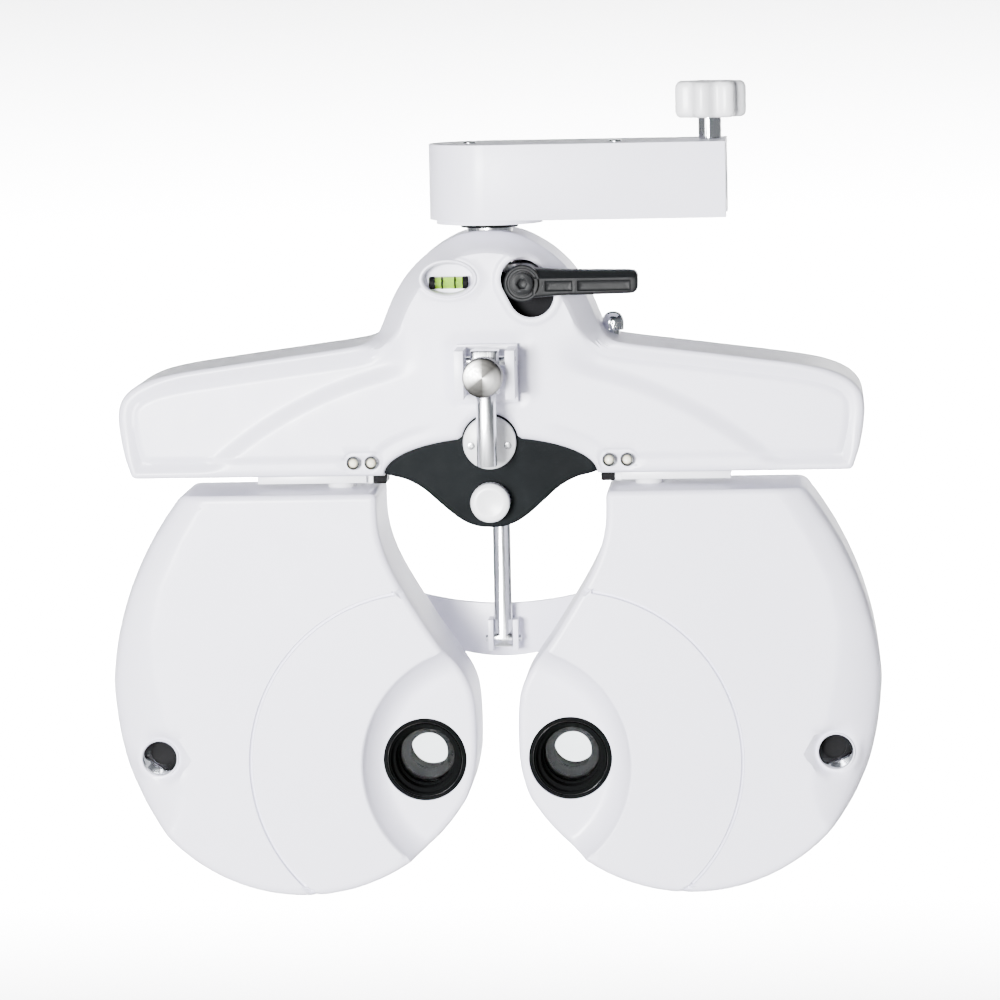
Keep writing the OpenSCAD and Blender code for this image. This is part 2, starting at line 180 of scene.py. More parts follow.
WHITE = plastic("white_moulding", (0.752, 0.745, 0.845), (0.775, 0.768, 0.868), 0.34, 0.42, coat=0.16, coat_r=0.2,
                grain=2600, grain_s=0.035, sss=0.0)
WHITE_KNOB = plastic("white_knob", (0.78, 0.785, 0.81), (0.81, 0.81, 0.835), 0.30, 0.42, coat=0.2, coat_r=0.2, grain=2000, grain_s=0.08)
HUB = plastic("hub_satin", (0.52, 0.525, 0.54), (0.57, 0.575, 0.59), 0.3, 0.4, coat=0.2, coat_r=0.2, grain=1200, grain_s=0.08)
SHIELD = plastic("soft_shield", (0.74, 0.75, 0.77), (0.78, 0.79, 0.80), 0.42, 0.55, grain=3000, grain_s=0.08, sss=0.25)
PAD = plastic("pad_silicone", (0.30, 0.31, 0.325), (0.345, 0.355, 0.37), 0.5, 0.64, grain=1500, grain_s=0.2, grain_d=0.0004, sss=0.15)
FASCIA = plastic("black_satin", (0.0042, 0.0052, 0.0058), (0.0060, 0.0074, 0.0082), 0.5, 0.6, grain=2600, grain_s=0.10, spec=0.03)
BLACK = plastic("black_anodised", (0.0022, 0.0026, 0.0028), (0.0045, 0.0050, 0.0054), 0.5, 0.62, grain=2600, grain_s=0.12, spec=0.035)
LEVER = plastic("lever_lacquer", (0.0045, 0.0050, 0.0054), (0.0075, 0.0082, 0.0088), 0.36, 0.48, spec=0.10, grain=1400, grain_s=0.16, grain_d=0.0003)
MOTOR = plastic("motor_oxide", (0.015, 0.015, 0.017), (0.028, 0.028, 0.030), 0.35, 0.5, grain=900, grain_s=0.12)
CAST = metal("cast_alloy", (0.50, 0.51, 0.53), (0.60, 0.61, 0.63), 0.36, 0.52, grain=1600, grain_s=0.25, grain_d=0.0003)
STEEL = metal("bright_steel", (0.66, 0.67, 0.69), (0.76, 0.77, 0.79), 0.16, 0.30, brush=(60, 60, 3), grain=40, grain_s=0.05)
CHROME = metal("chrome", (0.78, 0.79, 0.81), (0.85, 0.86, 0.88), 0.05, 0.12, grain=500, grain_s=0.02)
# rod knob face: the bow-tie of light and dark in its base colour is a painted reflection; the fine ring bump is real
# relief
TURNED_PAINTED_REFLECTION, nt, bs = new_mat("turned_face")
tco = add(nt, "ShaderNodeTexCoord").outputs["Object"]
sep = add(nt, "ShaderNodeSeparateXYZ")
nt.links.new(tco, sep.inputs["Vector"])
ang = add(nt, "ShaderNodeMath", operation="ARCTAN2")
nt.links.new(sep.outputs["Z"], ang.inputs[0])
nt.links.new(sep.outputs["X"], ang.inputs[1])
dbl = add(nt, "ShaderNodeMath", operation="MULTIPLY_ADD")
dbl.inputs[1].default_value = 2.0
dbl.inputs[2].default_value = 0.9
nt.links.new(ang.outputs["Value"], dbl.inputs[0])
cs = add(nt, "ShaderNodeMath", operation="COSINE")
nt.links.new(dbl.outputs["Value"], cs.inputs[0])
dist = add(nt, "ShaderNodeVectorMath", operation="LENGTH")
nt.links.new(tco, dist.inputs[0])
fine = add(nt, "ShaderNodeMath", operation="SINE")
rings_ = add(nt, "ShaderNodeMath", operation="MULTIPLY")
rings_.inputs[1].default_value = 22000.0
nt.links.new(dist.outputs["Value"], rings_.inputs[0])
nt.links.new(rings_.outputs["Value"], fine.inputs[0])
# painted reflection: base colour swings from dark to bright with twice the angle round the knob's axis
nt.links.new(ramp(nt, span(nt, cs.outputs["Value"], 0, 1, -1, 1), (0.035, 0.034, 0.032), (0.34, 0.335, 0.325), 0.15, 0.98), bs.inputs["Base Color"])
bs.inputs["Metallic"].default_value = 1.0
nt.links.new(span(nt, noise_node(nt, tco, 900, 3), 0.3, 0.42), bs.inputs["Roughness"])
bump(nt, bs, fine.outputs["Value"], 0.12, 0.00003)
WHEEL = plastic("wheel_anodised", (0.014, 0.015, 0.017), (0.024, 0.025, 0.028), 0.50, 0.62, grain=1200, grain_s=0.1, spec=0.0)
CHASSIS = plastic("chassis_black", (0.008, 0.008, 0.009), (0.014, 0.014, 0.015), 0.5, 0.62, grain=1500, grain_s=0.2, spec=0.0)
TUBE = plastic("matt_tube", (0.0035, 0.0038, 0.004), (0.0055, 0.006, 0.0062), 0.7, 0.8, grain=2000, grain_s=0.2, spec=0.0)
LIP = plastic("lip_gloss", (0.004, 0.004, 0.0045), (0.006, 0.006, 0.0065), 0.12, 0.18, grain=800, grain_s=0.02, spec=0.35)
RIM = metal("dark_rim", (0.20, 0.205, 0.21), (0.27, 0.275, 0.28), 0.18, 0.28, grain=700, grain_s=0.05)
BRASS = metal("brass", (0.72, 0.50, 0.20), (0.80, 0.58, 0.26), 0.2, 0.34, grain=900, grain_s=0.06)
WINDOW = glass("coated_window", (0.93, 0.96, 0.97), 0.0, 1.2, 0.01, coat=0.1)
FLUID = glass("level_fluid", (0.62, 0.90, 0.10), 0.05, 1.35, 0.05, coat=0.6)
LAMP = plastic("lamp_dome", (0.86, 0.80, 0.62), (0.93, 0.88, 0.74), 0.05, 0.12, coat=1.0, coat_r=0.03, grain=500, grain_s=0.02, sss=0.4)
DARK = plastic("socket_dark", (0.003, 0.003, 0.0035), (0.005, 0.005, 0.0055), 0.5, 0.6, grain=1500, grain_s=0.1, spec=0.05)
BY_SLOT = {"white_shell": WHITE, "soft_shield": SHIELD, "cast_alloy": CAST, "brass": BRASS, "bright_steel": STEEL,
           "black_plastic": BLACK, "motor_case": MOTOR, "lamp_lens": LAMP, "vial": FLUID, "window_glass": WINDOW,
           "wheel_alloy": WHEEL, "pad_rubber": PAD}
for n, o in nodes.items():
    o.data.materials.clear()
    o.data.materials.append(BY_SLOT[slots[n]])


# ------------------------------------------------------------------ mesh tools
def crease(me, angle=32.0):
    bm = bmesh.new()
    bm.from_mesh(me)
    lim = rad(angle)
    for f in bm.faces:
        f.smooth = True
    for e in bm.edges:
        e.smooth = not (len(e.link_faces) != 2 or e.calc_face_angle(0.0) > lim)
    bm.to_mesh(me)
    bm.free()


def apply_all(o):
    dg = bpy.context.evaluated_depsgraph_get()
    me = bpy.data.meshes.new_from_object(o.evaluated_get(dg))
    o.modifiers.clear()
    o.data = me
    return o


def new_obj(name, verts, faces, mat, body, origin=None, angle=32.0, flip=False):
    """Object from drawing-millimetre points; origin (drawing mm) becomes the object's own centre."""
    v = (np.asarray(verts, float) + OFF) / 1000.0
    loc = Vector((0, 0, 0))
    if origin is not None:
        loc = P(*origin)
        v = v - np.array(loc)
    me = bpy.data.meshes.new(name)
    fs = [tuple(reversed(f)) if flip else tuple(f) for f in faces]
    me.from_pydata([tuple(p) for p in v], [], fs)
    me.validate()
    me.materials.append(mat)
    o = bpy.data.objects.new(name, me)
    bpy.context.scene.collection.objects.link(o)
    o.location = loc
    crease(me, angle)
    bpy.context.view_layer.update()
    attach(o, body)
    return o


def soften(node, width, segs=2, mat=None, angle=32.0, only=None):
    """A copy of a CAD node with its edges rounded, shown in its place."""
    src = nodes[node]
    me = src.data.copy()
    bm = bmesh.new()
    bm.from_mesh(me)
    bmesh.ops.remove_doubles(bm, verts=bm.verts, dist=2e-6)
    bmesh.ops.dissolve_limit(bm, angle_limit=rad(1.0), verts=bm.verts, edges=bm.edges, delimit=set())
    bm.to_mesh(me)
    bm.free()
    o = bpy.data.objects.new("fine_" + node, me)
    bpy.context.scene.collection.objects.link(o)
    me.materials.clear()
    me.materials.append(mat or BY_SLOT[slots[node]])
    b = o.modifiers.new("bevel", "BEVEL")
    b.width = width / 1000.0
    b.segments = segs
    b.limit_method = "ANGLE"
    b.angle_limit = rad(28)
    b.use_clamp_overlap = True
    b.harden_normals = False
    apply_all(o)
    crease(o.data, angle)
    bpy.context.view_layer.update()
    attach(o, src["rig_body"])
    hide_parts(node)
    return o


def catmull(pts, step):
    pts = [np.array(p, float) for p in pts]
    ext = [2 * pts[0] - pts[1]] + pts + [2 * pts[-1] - pts[-2]]
    out = []
    for i in range(1, len(ext) - 2):
        p0, p1, p2, p3 = ext[i - 1:i + 3]
        t0 = 0.0
        t1 = t0 + max(np.linalg.norm(p1 - p0), 1e-6) ** 0.5
        t2 = t1 + max(np.linalg.norm(p2 - p1), 1e-6) ** 0.5
        t3 = t2 + max(np.linalg.norm(p3 - p2), 1e-6) ** 0.5
        n = max(1, int(round(np.linalg.norm(p2 - p1) / step)))
        for k in range(n):
            t = t1 + (t2 - t1) * k / n
            a1 = (t1 - t) / (t1 - t0) * p0 + (t - t0) / (t1 - t0) * p1
            a2 = (t2 - t) / (t2 - t1) * p1 + (t - t1) / (t2 - t1) * p2
            a3 = (t3 - t) / (t3 - t2) * p2 + (t - t2) / (t3 - t2) * p3
            b1 = (t2 - t) / (t2 - t0) * a1 + (t - t0) / (t2 - t0) * a2
            b2 = (t3 - t) / (t3 - t1) * a2 + (t - t1) / (t3 - t1) * a3
            out.append((t2 - t) / (t2 - t1) * b1 + (t - t1) / (t2 - t1) * b2)
    out.append(pts[-1])
    return out


def line(a, b, step):
    a, b = np.array(a, float), np.array(b, float)
    n = max(1, int(round(np.linalg.norm(b - a) / step)))
    return [a + (b - a) * k / n for k in range(n + 1)]


def corner(a, c, b, r, n=5):
    """Rounded corner at c between directions to a and b."""
    a, b, c = (np.array(q, float) for q in (a, b, c))
    u = (a - c) / np.linalg.norm(a - c)
    w = (b - c) / np.linalg.norm(b - c)
    p, q = c + u * r, c + w * r
    return [(1 - t) ** 2 * p + 2 * t * (1 - t) * c + t * t * q for t in np.linspace(0, 1, n)]


def tidy(pts, gap=0.12):
    out = []
    for p in pts:
        if not out or np.linalg.norm(p - out[-1]) > gap:
            out.append(np.array(p, float))
    if np.linalg.norm(out[0] - out[-1]) <= gap:
        out.pop()
    return np.array(out)


def dist_to(poly, q):
    """Distance of points q (n,2) from a closed polyline."""
    a = poly
    b = np.roll(poly, -1, 0)
    d = b - a
    L = (d * d).sum(1)
    best = np.full(len(q), 1e9)
    for k in range(0, len(q), 4000):
        w = q[k:k + 4000, None, :] - a[None]
        t = np.clip((w * d[None]).sum(2) / L[None], 0, 1)
        e = w - t[..., None] * d[None]
        best[k:k + 4000] = np.sqrt((e * e).sum(2)).min(1)
    return best


def inside(poly, q):
    x, z = q[:, 0], q[:, 1]
    res = np.zeros(len(q), bool)
    j = len(poly) - 1
    for i in range(len(poly)):
        xi, zi = poly[i]
        xj, zj = poly[j]
        if zi != zj:
            c = ((zi > z) != (zj > z)) & (x < (xj - xi) * (z - zi) / (zj - zi) + xi)
            res ^= c
        j = i
    return res


def circle(cx, cz, r, n):
    return np.array([(cx + r * math.cos(2 * math.pi * k / n), cz + r * math.sin(2 * math.pi * k / n)) for k in range(n)])


def inset(poly, d):
    nxt, prv = np.roll(poly, -1, 0), np.roll(poly, 1, 0)
    t = nxt - prv
    t /= np.linalg.norm(t, axis=1)[:, None]
    n = np.stack([-t[:, 1], t[:, 0]], 1)
    return poly + n * d


def sm(a, b, x):
    t = np.clip((x - a) / (b - a), 0, 1)
    return t * t * (3 - 2 * t)


def shell(name, outline, holes, height, y1, rows, mat, body, wall=2.4, front=True, mirror=1, cx=0.0,
          rings=(), grid=3.2, offs=(0.12, 0.45, 1.0, 1.7, 2.5, 3.4, 5.0), skip=None, hole_offs=(0.4, 1.0, 1.8), angle=32.0):
    """Thin moulding: a face with height(x, z, d) as its y, walls back to y1, and a wall thickness.
    front False makes the face look to +y, with height measured from it."""
    n0 = len(outline)
    pts = [tuple(p) for p in outline]
    edges = [(i, (i + 1) % n0) for i in range(n0)]
    loops = []
    for h in holes:
        s = len(pts)
        pts += [tuple(p) for p in h]
        edges += [(s + i, s + (i + 1) % len(h)) for i in range(len(h))]
        loops.append(list(range(s, s + len(h))))
    cand = []

    def feature(run, ok, loop=True):
        """Adds a line of points as triangle edges, leaving out the points that are not ok."""
        idx = []
        for p, good in zip(run, ok):
            idx.append(len(pts) if good else None)
            if good:
                pts.append(tuple(p))
        for a, b in zip(idx, idx[1:] + (idx[:1] if loop else [None])):
            if a is not None and b is not None and math.dist(pts[a], pts[b]) < 5:
                edges.append((a, b))

    def clear(q):
        ok = inside(outline, q) & (dist_to(outline, q) > 0.1)
        for h in holes:
            ok &= ~inside(h, q) & (dist_to(h, q) > 0.15)
        return ok
    for d in offs:
        q = inset(outline, d)
        feature(q, clear(q) & (np.abs(dist_to(outline, q) - d) < 0.06 * d + 0.02))
    for r in rings:
        r = np.asarray(r, float)
        feature(r, clear(r) & (dist_to(outline, r) > offs[-1] * 0.75))
    for h in holes:
        c = h.mean(0)
        for d in hole_offs:
            v = h - c
            r = np.linalg.norm(v, axis=1)[:, None]
            cand += [(p, 0.2) for p in c + v * (r + d) / r]
    lo, hi = outline.min(0), outline.max(0)
    row = 0
    z = lo[1]
    while z < hi[1]:
        x = lo[0] + (row % 2) * grid / 2
        while x < hi[0]:
            cand.append((np.array((x, z)), grid * 0.5))
            x += grid
        z += grid * 0.866
        row += 1
    cp = np.array([c[0] for c in cand])
    ok = clear(cp)
    cell = {}

    def key(p):
        return int(math.floor(p[0] / 2)), int(math.floor(p[1] / 2))
    for p in pts:
        cell.setdefault(key(p), []).append(p)
    for (p, md), good in zip(cand, ok):
        if not good:
            continue
        k = key(p)
        if any((q[0] - p[0]) ** 2 + (q[1] - p[1]) ** 2 < md * md
               for i in (-1, 0, 1) for j in (-1, 0, 1) for q in cell.get((k[0] + i, k[1] + j), ())):
            continue
        cell.setdefault(k, []).append(tuple(p))
        pts.append(tuple(p))
    vo, _, fo, ov, _, _ = delaunay_2d_cdt([Vector(p) for p in pts], edges, [], 0, 1e-6, True)
    q = np.array([(v.x, v.y) for v in vo])
    tri = np.array([f for f in fo if len(f) == 3])
    cen = q[tri].mean(1)
    keep = inside(outline, cen)
    for h in holes:
        keep &= ~inside(h, cen)
    tri = tri[keep]
    # every face counter-clockwise in x-z
    a, b, c = q[tri[:, 0]], q[tri[:, 1]], q[tri[:, 2]]
    area = (b[:, 0] - a[:, 0]) * (c[:, 1] - a[:, 1]) - (b[:, 1] - a[:, 1]) * (c[:, 0] - a[:, 0])
    tri = tri[np.abs(area) > 1e-7]
    area = area[np.abs(area) > 1e-7]
    tri[area < 0] = tri[area < 0][:, ::-1]
    back = {}
    for i, src in enumerate(ov):
        for s in src:
            back[s] = i
    ring = [back[i] for i in range(n0)]
    d = dist_to(outline, q)
    y = height(q[:, 0], q[:, 1], d)
    verts = np.stack([q[:, 0], y, q[:, 1]], 1)
    faces = [tuple(t) for t in tri]
    verts = list(verts)
    prev = ring
    edge_y = y[ring]
    used_rows = [r for r in rows] + [y1]
    for r in used_rows:
        cur = []
        for i in range(n0):
            f = (r - rows[0]) / (y1 - rows[0]) if len(used_rows) > 1 else 1
            yy = r if (r > edge_y.max() if front else r < edge_y.min()) else edge_y[i] + (y1 - edge_y[i]) * max(0.02, f)
            cur.append(len(verts))
            verts.append(np.array((outline[i][0], yy, outline[i][1])))
        for i in range(n0):
            j = (i + 1) % n0
            quad = (prev[i], cur[i], cur[j], prev[j])
            if skip is not None:
                m = sum(np.array(verts[k]) for k in quad) / 4
                if skip(m[0], m[1], m[2]):
                    continue
            faces.append(quad)
        prev = cur
    verts = np.array(verts)
    flip = not front
    if mirror < 0:
        verts[:, 0] = -(cx + verts[:, 0])
        flip = not flip
    else:
        verts[:, 0] = cx + verts[:, 0]
    used = sorted({i for f in faces for i in f})
    remap = {k: i for i, k in enumerate(used)}
    verts = verts[used]
    faces = [tuple(remap[i] for i in f) for f in faces]
    v = (verts + OFF) / 1000.0
    me = bpy.data.meshes.new(name)
    me.from_pydata([tuple(p) for p in v], [], [tuple(reversed(f)) if flip else f for f in faces])
    me.validate()
    me.materials.append(mat)
    o = bpy.data.objects.new(name, me)
    bpy.context.scene.collection.objects.link(o)
    if wall:
        s = o.modifiers.new("wall", "SOLIDIFY")
        s.thickness = wall / 1000.0
        s.offset = -1
        s.use_even_offset = False
        s.use_rim = True
        apply_all(o)
    crease(o.data, angle)
    bpy.context.view_layer.update()
    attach(o, body)
    return o


def lathe(name, prof, centre, axis, mat, body, n=72, wave=None, angle=30.0):
    """Revolved profile [(radius, along)], closed at both ends when the radius is 0."""
    verts, faces, rings = [], [], []
    for r, a in prof:
        ring = []
        if r <= 1e-6:
            ring = [len(verts)] * n
            verts.append((0, 0, a))
        else:
            for k in range(n):
                th = 2 * math.pi * k / n
                rr = r + (wave(th, a, r) if wave else 0)
                ring.append(len(verts))
                verts.append((rr * math.cos(th), rr * math.sin(th), a))
        rings.append(ring)
    closed = prof[0][0] > 1e-6 and prof[-1][0] > 1e-6
    seq = list(zip(rings, rings[1:])) + ([(rings[-1], rings[0])] if closed else [])
    for p, q in seq:
        for k in range(n):
            j = (k + 1) % n
            f = [p[k], p[j], q[j], q[k]]
            g = [f[i] for i in range(4) if f[i] != f[i - 1]]
            if len(set(g)) >= 3:
                faces.append(tuple(g))
    v = np.array(verts, float)
    if axis == "y":
        v = np.stack([v[:, 0], v[:, 2], v[:, 1]], 1)
        faces = [tuple(reversed(f)) for f in faces]
    elif axis == "x":
        v = np.stack([v[:, 2], v[:, 0], v[:, 1]], 1)
    v = v + np.array(centre)
    o = new_obj(name, v, faces, mat, body, origin=centre, angle=angle)
    bm = bmesh.new()
    bm.from_mesh(o.data)
    bmesh.ops.recalc_face_normals(bm, faces=bm.faces)
    bm.to_mesh(o.data)
    bm.free()
    crease(o.data, angle)
    return o


# ------------------------------------------------------------------ eye units
def lobe_outline():
    nose = [(18, 112), (17.6, 104), (15.4, 94), (11.8, 85), (7, 76), (1.6, 67), (-4, 58), (-9.4, 50), (-14, 43.4),
            (-18.4, 36.6), (-21.2, 30.0), (-22.4, 22), (-22.8, 12), (-22.6, 2), (-21.8, -5), (-20.3, -11.5)]
    low = [(53 + 82.2 * math.cos(rad(a)), 23.8 + 82.2 * math.sin(rad(a))) for a in range(210, 343, 6)]
    up = [(134.1, 10), (135.8, 21), (136.7, 31)] + [(-12.7 + 150 * math.cos(rad(4.4 + 4.3 * k)), 25 + 150 * math.sin(rad(4.4 + 4.3 * k))) for k in range(8)]
    up = up + [(104.6, 118.6)]
    run = catmull(nose + low + up, 2.2)
    c1 = corner(run[-2], (104.2, 119), (90, 119), 3.0)
    c2 = corner((30, 119), (18, 119), (18, 112), 3.0)
    return tidy(run[:-2] + c1 + line((101.2, 119), (21, 119), 2.6)[1:-1] + c2 + line((18, 116), (18, 112), 2.0)[1:-1])


LOBE = lobe_outline()
LOBE[:, 0] = np.minimum(LOBE[:, 0], 136.85)
Z_B = np.array([-60, -44, -34, -24, -12, 0, 20, 38, 58, 78, 100, 119, 130.0])
U_B = np.array([130, 124, 115, 108.5, 106, 107.5, 113, 117, 118.2, 114, 103.5, 92, 88.0])
Z_O = np.array([-60, -44, -34, -24, -12, 0, 10, 21, 31, 38, 58, 78, 100, 119, 130.0])
U_O = np.array([70, 99.4, 111.5, 119.8, 126.5, 131, 134.1, 135.8, 136.7, 136.7, 133.6, 127.6, 117.1, 104.2, 98.0])
DISH = (-26.0, -1.5)


def lobe_height(u, z, d):
    ub, uo = np.interp(z, Z_B, U_B), np.interp(z, Z_O, U_O)
    w = np.maximum(uo - ub, 0)
    t = np.where(w > 0.5, np.clip((u - ub) / np.maximum(w, 0.5), 0, 1), 0)
    depth = np.minimum(13.0, 0.62 * w)
    y = depth * (0.30 * t + 0.70 * (1 - np.sqrt(np.maximum(1 - (0.985 * t) ** 2, 0))))
    # dish
    r = np.hypot(u - DISH[0], z - DISH[1])
    tt = np.clip((53.6 - r) / 11.6, 0, 1)
    y = y + 11.6 * (1 - (1 - tt) ** 2.1) * sm(0, 0.16, tt)
    # panel groove
    g = np.abs(np.hypot(u, z) - 75.8)
    y = y + 2.1 * np.clip((0.85 - g) / 0.4, 0, 1)
    # raised rim of the sighting window
    rs = np.hypot(u - 116.4, z - 3)
    flat = np.interp(3.0, Z_B, U_B)
    ys = 4.4
    near = 1 - sm(8.4, 12.6, rs)
    y = y * (1 - near) + ys * near
    e = 2.6
    dd = np.clip(d, 0, e)
    return y + e - np.sqrt(np.maximum(e * e - (e - dd) ** 2, 0))


def arc_ring(c, r, step):
    n = int(2 * math.pi * r / step)
    return circle(c[0], c[1], r, n)


dish_rings = [arc_ring(DISH, r, 2.0) for r in (54.4, 53.9, 53.5, 53.0, 52.4, 51.7, 51, 50, 49, 48, 47, 46, 45, 44, 43, 42, 41)]
groove_rings = [arc_ring((0, 0), 75.8 + k, 1.5) for k in (-1.7, -0.85, -0.45, 0.45, 0.85, 1.7)]
bound = [np.array(catmull([(a, b) for a, b in zip(U_B[1:12], Z_B[1:12])], 2.0)) + np.array((k, 0)) for k in (-1.5, 0, 1.5, 3.2)]
near_out = [np.stack([np.array([p[0] for p in LOBE[::1]]) - k, np.array([p[1] for p in LOBE])], 1)[np.array([p[0] for p in LOBE]) > 100] for k in (1.2, 2.4, 4, 6)]
for side, s in (("right", 1), ("left", -1)):
    body = "eye_" + side
    front = shell("front_moulding_" + side, LOBE, [circle(0, 0, 18.32, 96), circle(116.4, 3, 8.35, 56)], lobe_height, 44.0,
                  [22.0, 30.0], WHITE, body, mirror=s, cx=32.0, rings=dish_rings + groove_rings + bound + near_out, angle=38)
    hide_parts("eye_front_shell_" + side)

    def rear_height(u, z, d):
        e = 5.0
        dd = np.clip(d, 0, e)
        y = 62.0 - (e - np.sqrt(np.maximum(e * e - (e - dd) ** 2, 0)))
        # shallow service panel with rounded corners
        qx, qz = np.abs(u - 62) - 34, np.abs(z - 22) - 44
        sd = np.hypot(np.maximum(qx, 0), np.maximum(qz, 0)) + np.minimum(np.maximum(qx, qz), 0) - 8
        y = y - 0.6 * np.clip(1 - np.abs(sd) / 0.55, 0, 1)
        r = np.hypot(u, z)
        y = y - 1.2 * (1 - sm(20.4, 22.4, r))
        return y
    th = np.linspace(0, 2 * math.pi, 200, endpoint=False)

    def rrect(g):
        out = []
        for t in th:
            c, q = math.cos(t), math.sin(t)
            k = min(42 + g if abs(c) < 1e-6 else (42 + g) / abs(c), (52 + g) / max(abs(q), 1e-6))
            p = np.array((c * k, q * k))
            ax, az = 34, 44
            if abs(p[0]) > ax and abs(p[1]) > az:
                v = np.array((abs(p[0]) - ax, abs(p[1]) - az))
                v = v / np.linalg.norm(v) * (8 + g)
                p = np.array((math.copysign(ax + v[0], p[0]), math.copysign(az + v[1], p[1])))
            out.append((62 + p[0], 22 + p[1]))
        return np.array(out)
    rear = shell("rear_moulding_" + side, LOBE, [circle(0, 0, 15.92, 80)], rear_height, 44.25, [55.0, 50.0], WHITE, body,
                 mirror=s, cx=32.0, front=False, rings=[rrect(g) for g in (-0.6, -0.3, 0, 0.3, 0.6)] + [arc_ring((0, 0), r, 2.0) for r in (20.2, 20.8, 21.4, 22.0, 22.6)],
                 offs=(0.15, 0.6, 1.3, 2.1, 3.0, 4.0, 5.2), angle=38)
    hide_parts("eye_rear_shell_" + side)
    # cross-head screws of the rear panel
    for k, (uu, zz) in enumerate(((27, -22), (97, -22), (97, 66), (32, 66))):
        x = s * (32 + uu)
        sc = lathe("rear_screw_%s_%d" % (side, k), [(0, 61.1), (1.2, 61.1), (1.35, 62.0), (2.5, 61.95), (2.75, 61.6), (2.75, 60.6), (0, 60.6)],
                   (x, 0, zz), "y", STEEL, body, n=32)
    # stepped, grooved objective barrel
    prof = [(15.85, 13.4), (16.75, 12.9), (16.75, 11.0), (16.9, 10.8), (17.7, 10.8), (17.95, 11.1), (17.95, 22.0), (16, 22.0), (16, 28.9), (12.5, 28.9), (12.5, 26.6), (12.1, 26.6), (12.1, 22.4), (12.3, 22.0), (13.1, 22.0)]
    for k in range(5):
        y0 = 21.6 - k * 1.15
        prof += [(13.4, y0), (13.4, y0 - 0.55), (13.9, y0 - 0.75), (13.9, y0 - 0.98)]
    prof += [(13.7, 15.95), (15.0, 15.95)]
    for k in range(4):
        y0 = 15.7 - k * 1.15
        prof += [(15.35, y0), (15.35, y0 - 0.5), (15.75, y0 - 0.7), (15.75, y0 - 0.95)]
    ob = lathe("barrel_" + side, prof, (s * 32, 0, 0), "y", TUBE, body, n=96, angle=25)
    lip = lathe("barrel_lip_" + side, [(16.42 + 0.26 * math.cos(rad(t)), 11.5 + 0.26 * math.sin(rad(t))) for t in range(0, 360, 30)], (s * 32, 0, 0), "y", LIP, body, n=120)
    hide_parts("objective_barrel_" + side)
    soften("eyepiece_" + side, 0.35, 2, TUBE)
    sh = lathe("soft_shield_" + side, [(17.05, 62.4), (20.6, 62.3), (21.7, 63.0), (22.0, 65.5), (21.8, 69.6), (21.2, 71.6), (20.2, 72.35), (19.0, 72.0), (18.0, 70.6), (17.3, 67.6)],
               (s * 32, 0, 0), "y", SHIELD, body, n=90, angle=50)
    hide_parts("face_shield_" + side)
    # sighting window: pale rim, dark bore, angled mirror
    rim = lathe("sight_rim_" + side, [(7.5, 4.6), (7.62, 3.5), (7.8, 3.2), (8.05, 3.15), (8.25, 3.4), (8.28, 3.9), (8.28, 24), (0, 24), (0, 22.4), (7.5, 22.4)],
                (s * 148.4, 0, 3), "y", WHITE, body, n=64)
    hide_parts("sight_window_" + side)
    fv, ff, m = [], [], 64
    for r, y, ox, oz in ((7.44, 3.5, 0, 0), (6.9, 4.6, -0.2, 0.35), (5.6, 9.0, -0.8, 1.5), (5.3, 9.6, -0.9, 1.6), (5.3, 10.3, -0.9, 1.6), (7.44, 10.3, 0, 0)):
        fv += [(s * (148.4 + ox + r * math.cos(2 * math.pi * k / m)), y, 3 + oz + r * math.sin(2 * math.pi * k / m)) for k in range(m)]
    for k in range(6):
        for q in range(m):
            a, b, c, e = k * m + q, k * m + (q + 1) % m, (k + 1) % 6 * m + (q + 1) % m, (k + 1) % 6 * m + q
            ff.append((a, b, c, e) if s > 0 else (e, c, b, a))
    cone = new_obj("sight_cone_" + side, fv, ff, CHROME, body)
    bore = lathe("sight_bore_" + side, [(0, 10.9), (7.3, 10.9), (7.3, 12.4), (0, 12.4)], (s * 148.4, 0, 3), "y", DARK, body, n=48)
    for n in ("sphere_wheel_", "cylinder_wheel_"):
        soften(n + side, 0.25, 1, WHEEL)
    nodes["windows_" + side].data.materials[0] = WINDOW
    nodes["head_frame"].data.materials[0] = CHASSIS
    nodes["eye_chassis_" + side].data.materials[0] = CHASSIS


# ------------------------------------------------------------------ head covers
wing = [(157, 126.7), (160.4, 137), (162.2, 147), (162.6, 155), (161, 161), (156.4, 166), (148, 170), (137, 172.6), (118, 175.4),
        (100, 177.8), (80, 180.4), (62, 182.8), (54, 184.4), (49.6, 187), (47.4, 191), (45.2, 196.4), (42.6, 202.4), (39, 209), (34, 215.6),
        (28, 221.4), (21, 226.2), (14, 229.6), (7, 231.4), (0, 231.95)]


def cover_outline(notch):
    arch = [np.array((46.5 * math.sin(rad(a)), 126.7 + 16.2 * math.cos(rad(a)))) for a in np.arange(0, 90.1, 2.5)]
    if notch:
        arch = [p for p in arch if np.hypot(p[0], p[1] - 140.8) > 12.6]
        circ = [np.array((12.4 * math.sin(rad(a)), 140.8 + 12.4 * math.cos(rad(a)))) for a in np.arange(0, 140, 6)]
        circ = [p for p in circ if p[1] > 126.7 + 16.2 * math.sqrt(max(0, 1 - (p[0] / 46.5) ** 2)) + 0.2]
        arch = circ + arch
    bottom = line((46.5, 126.7), (157, 126.7), 2.4)
    c = corner((150, 126.7), (157, 126.7), (160.4, 137), 2.2)
    up = catmull([(158.1, 130.0)] + wing[1:], 2.4)
    half = arch + bottom[1:-2] + c + up
    half = [np.array(p) for p in half]
    lft = [np.array((-p[0], p[1])) for p in reversed(half) if p[0] > 0.05]
    return tidy(half + lft)


COVER_F = cover_outline(True)
COVER_R = cover_outline(False)


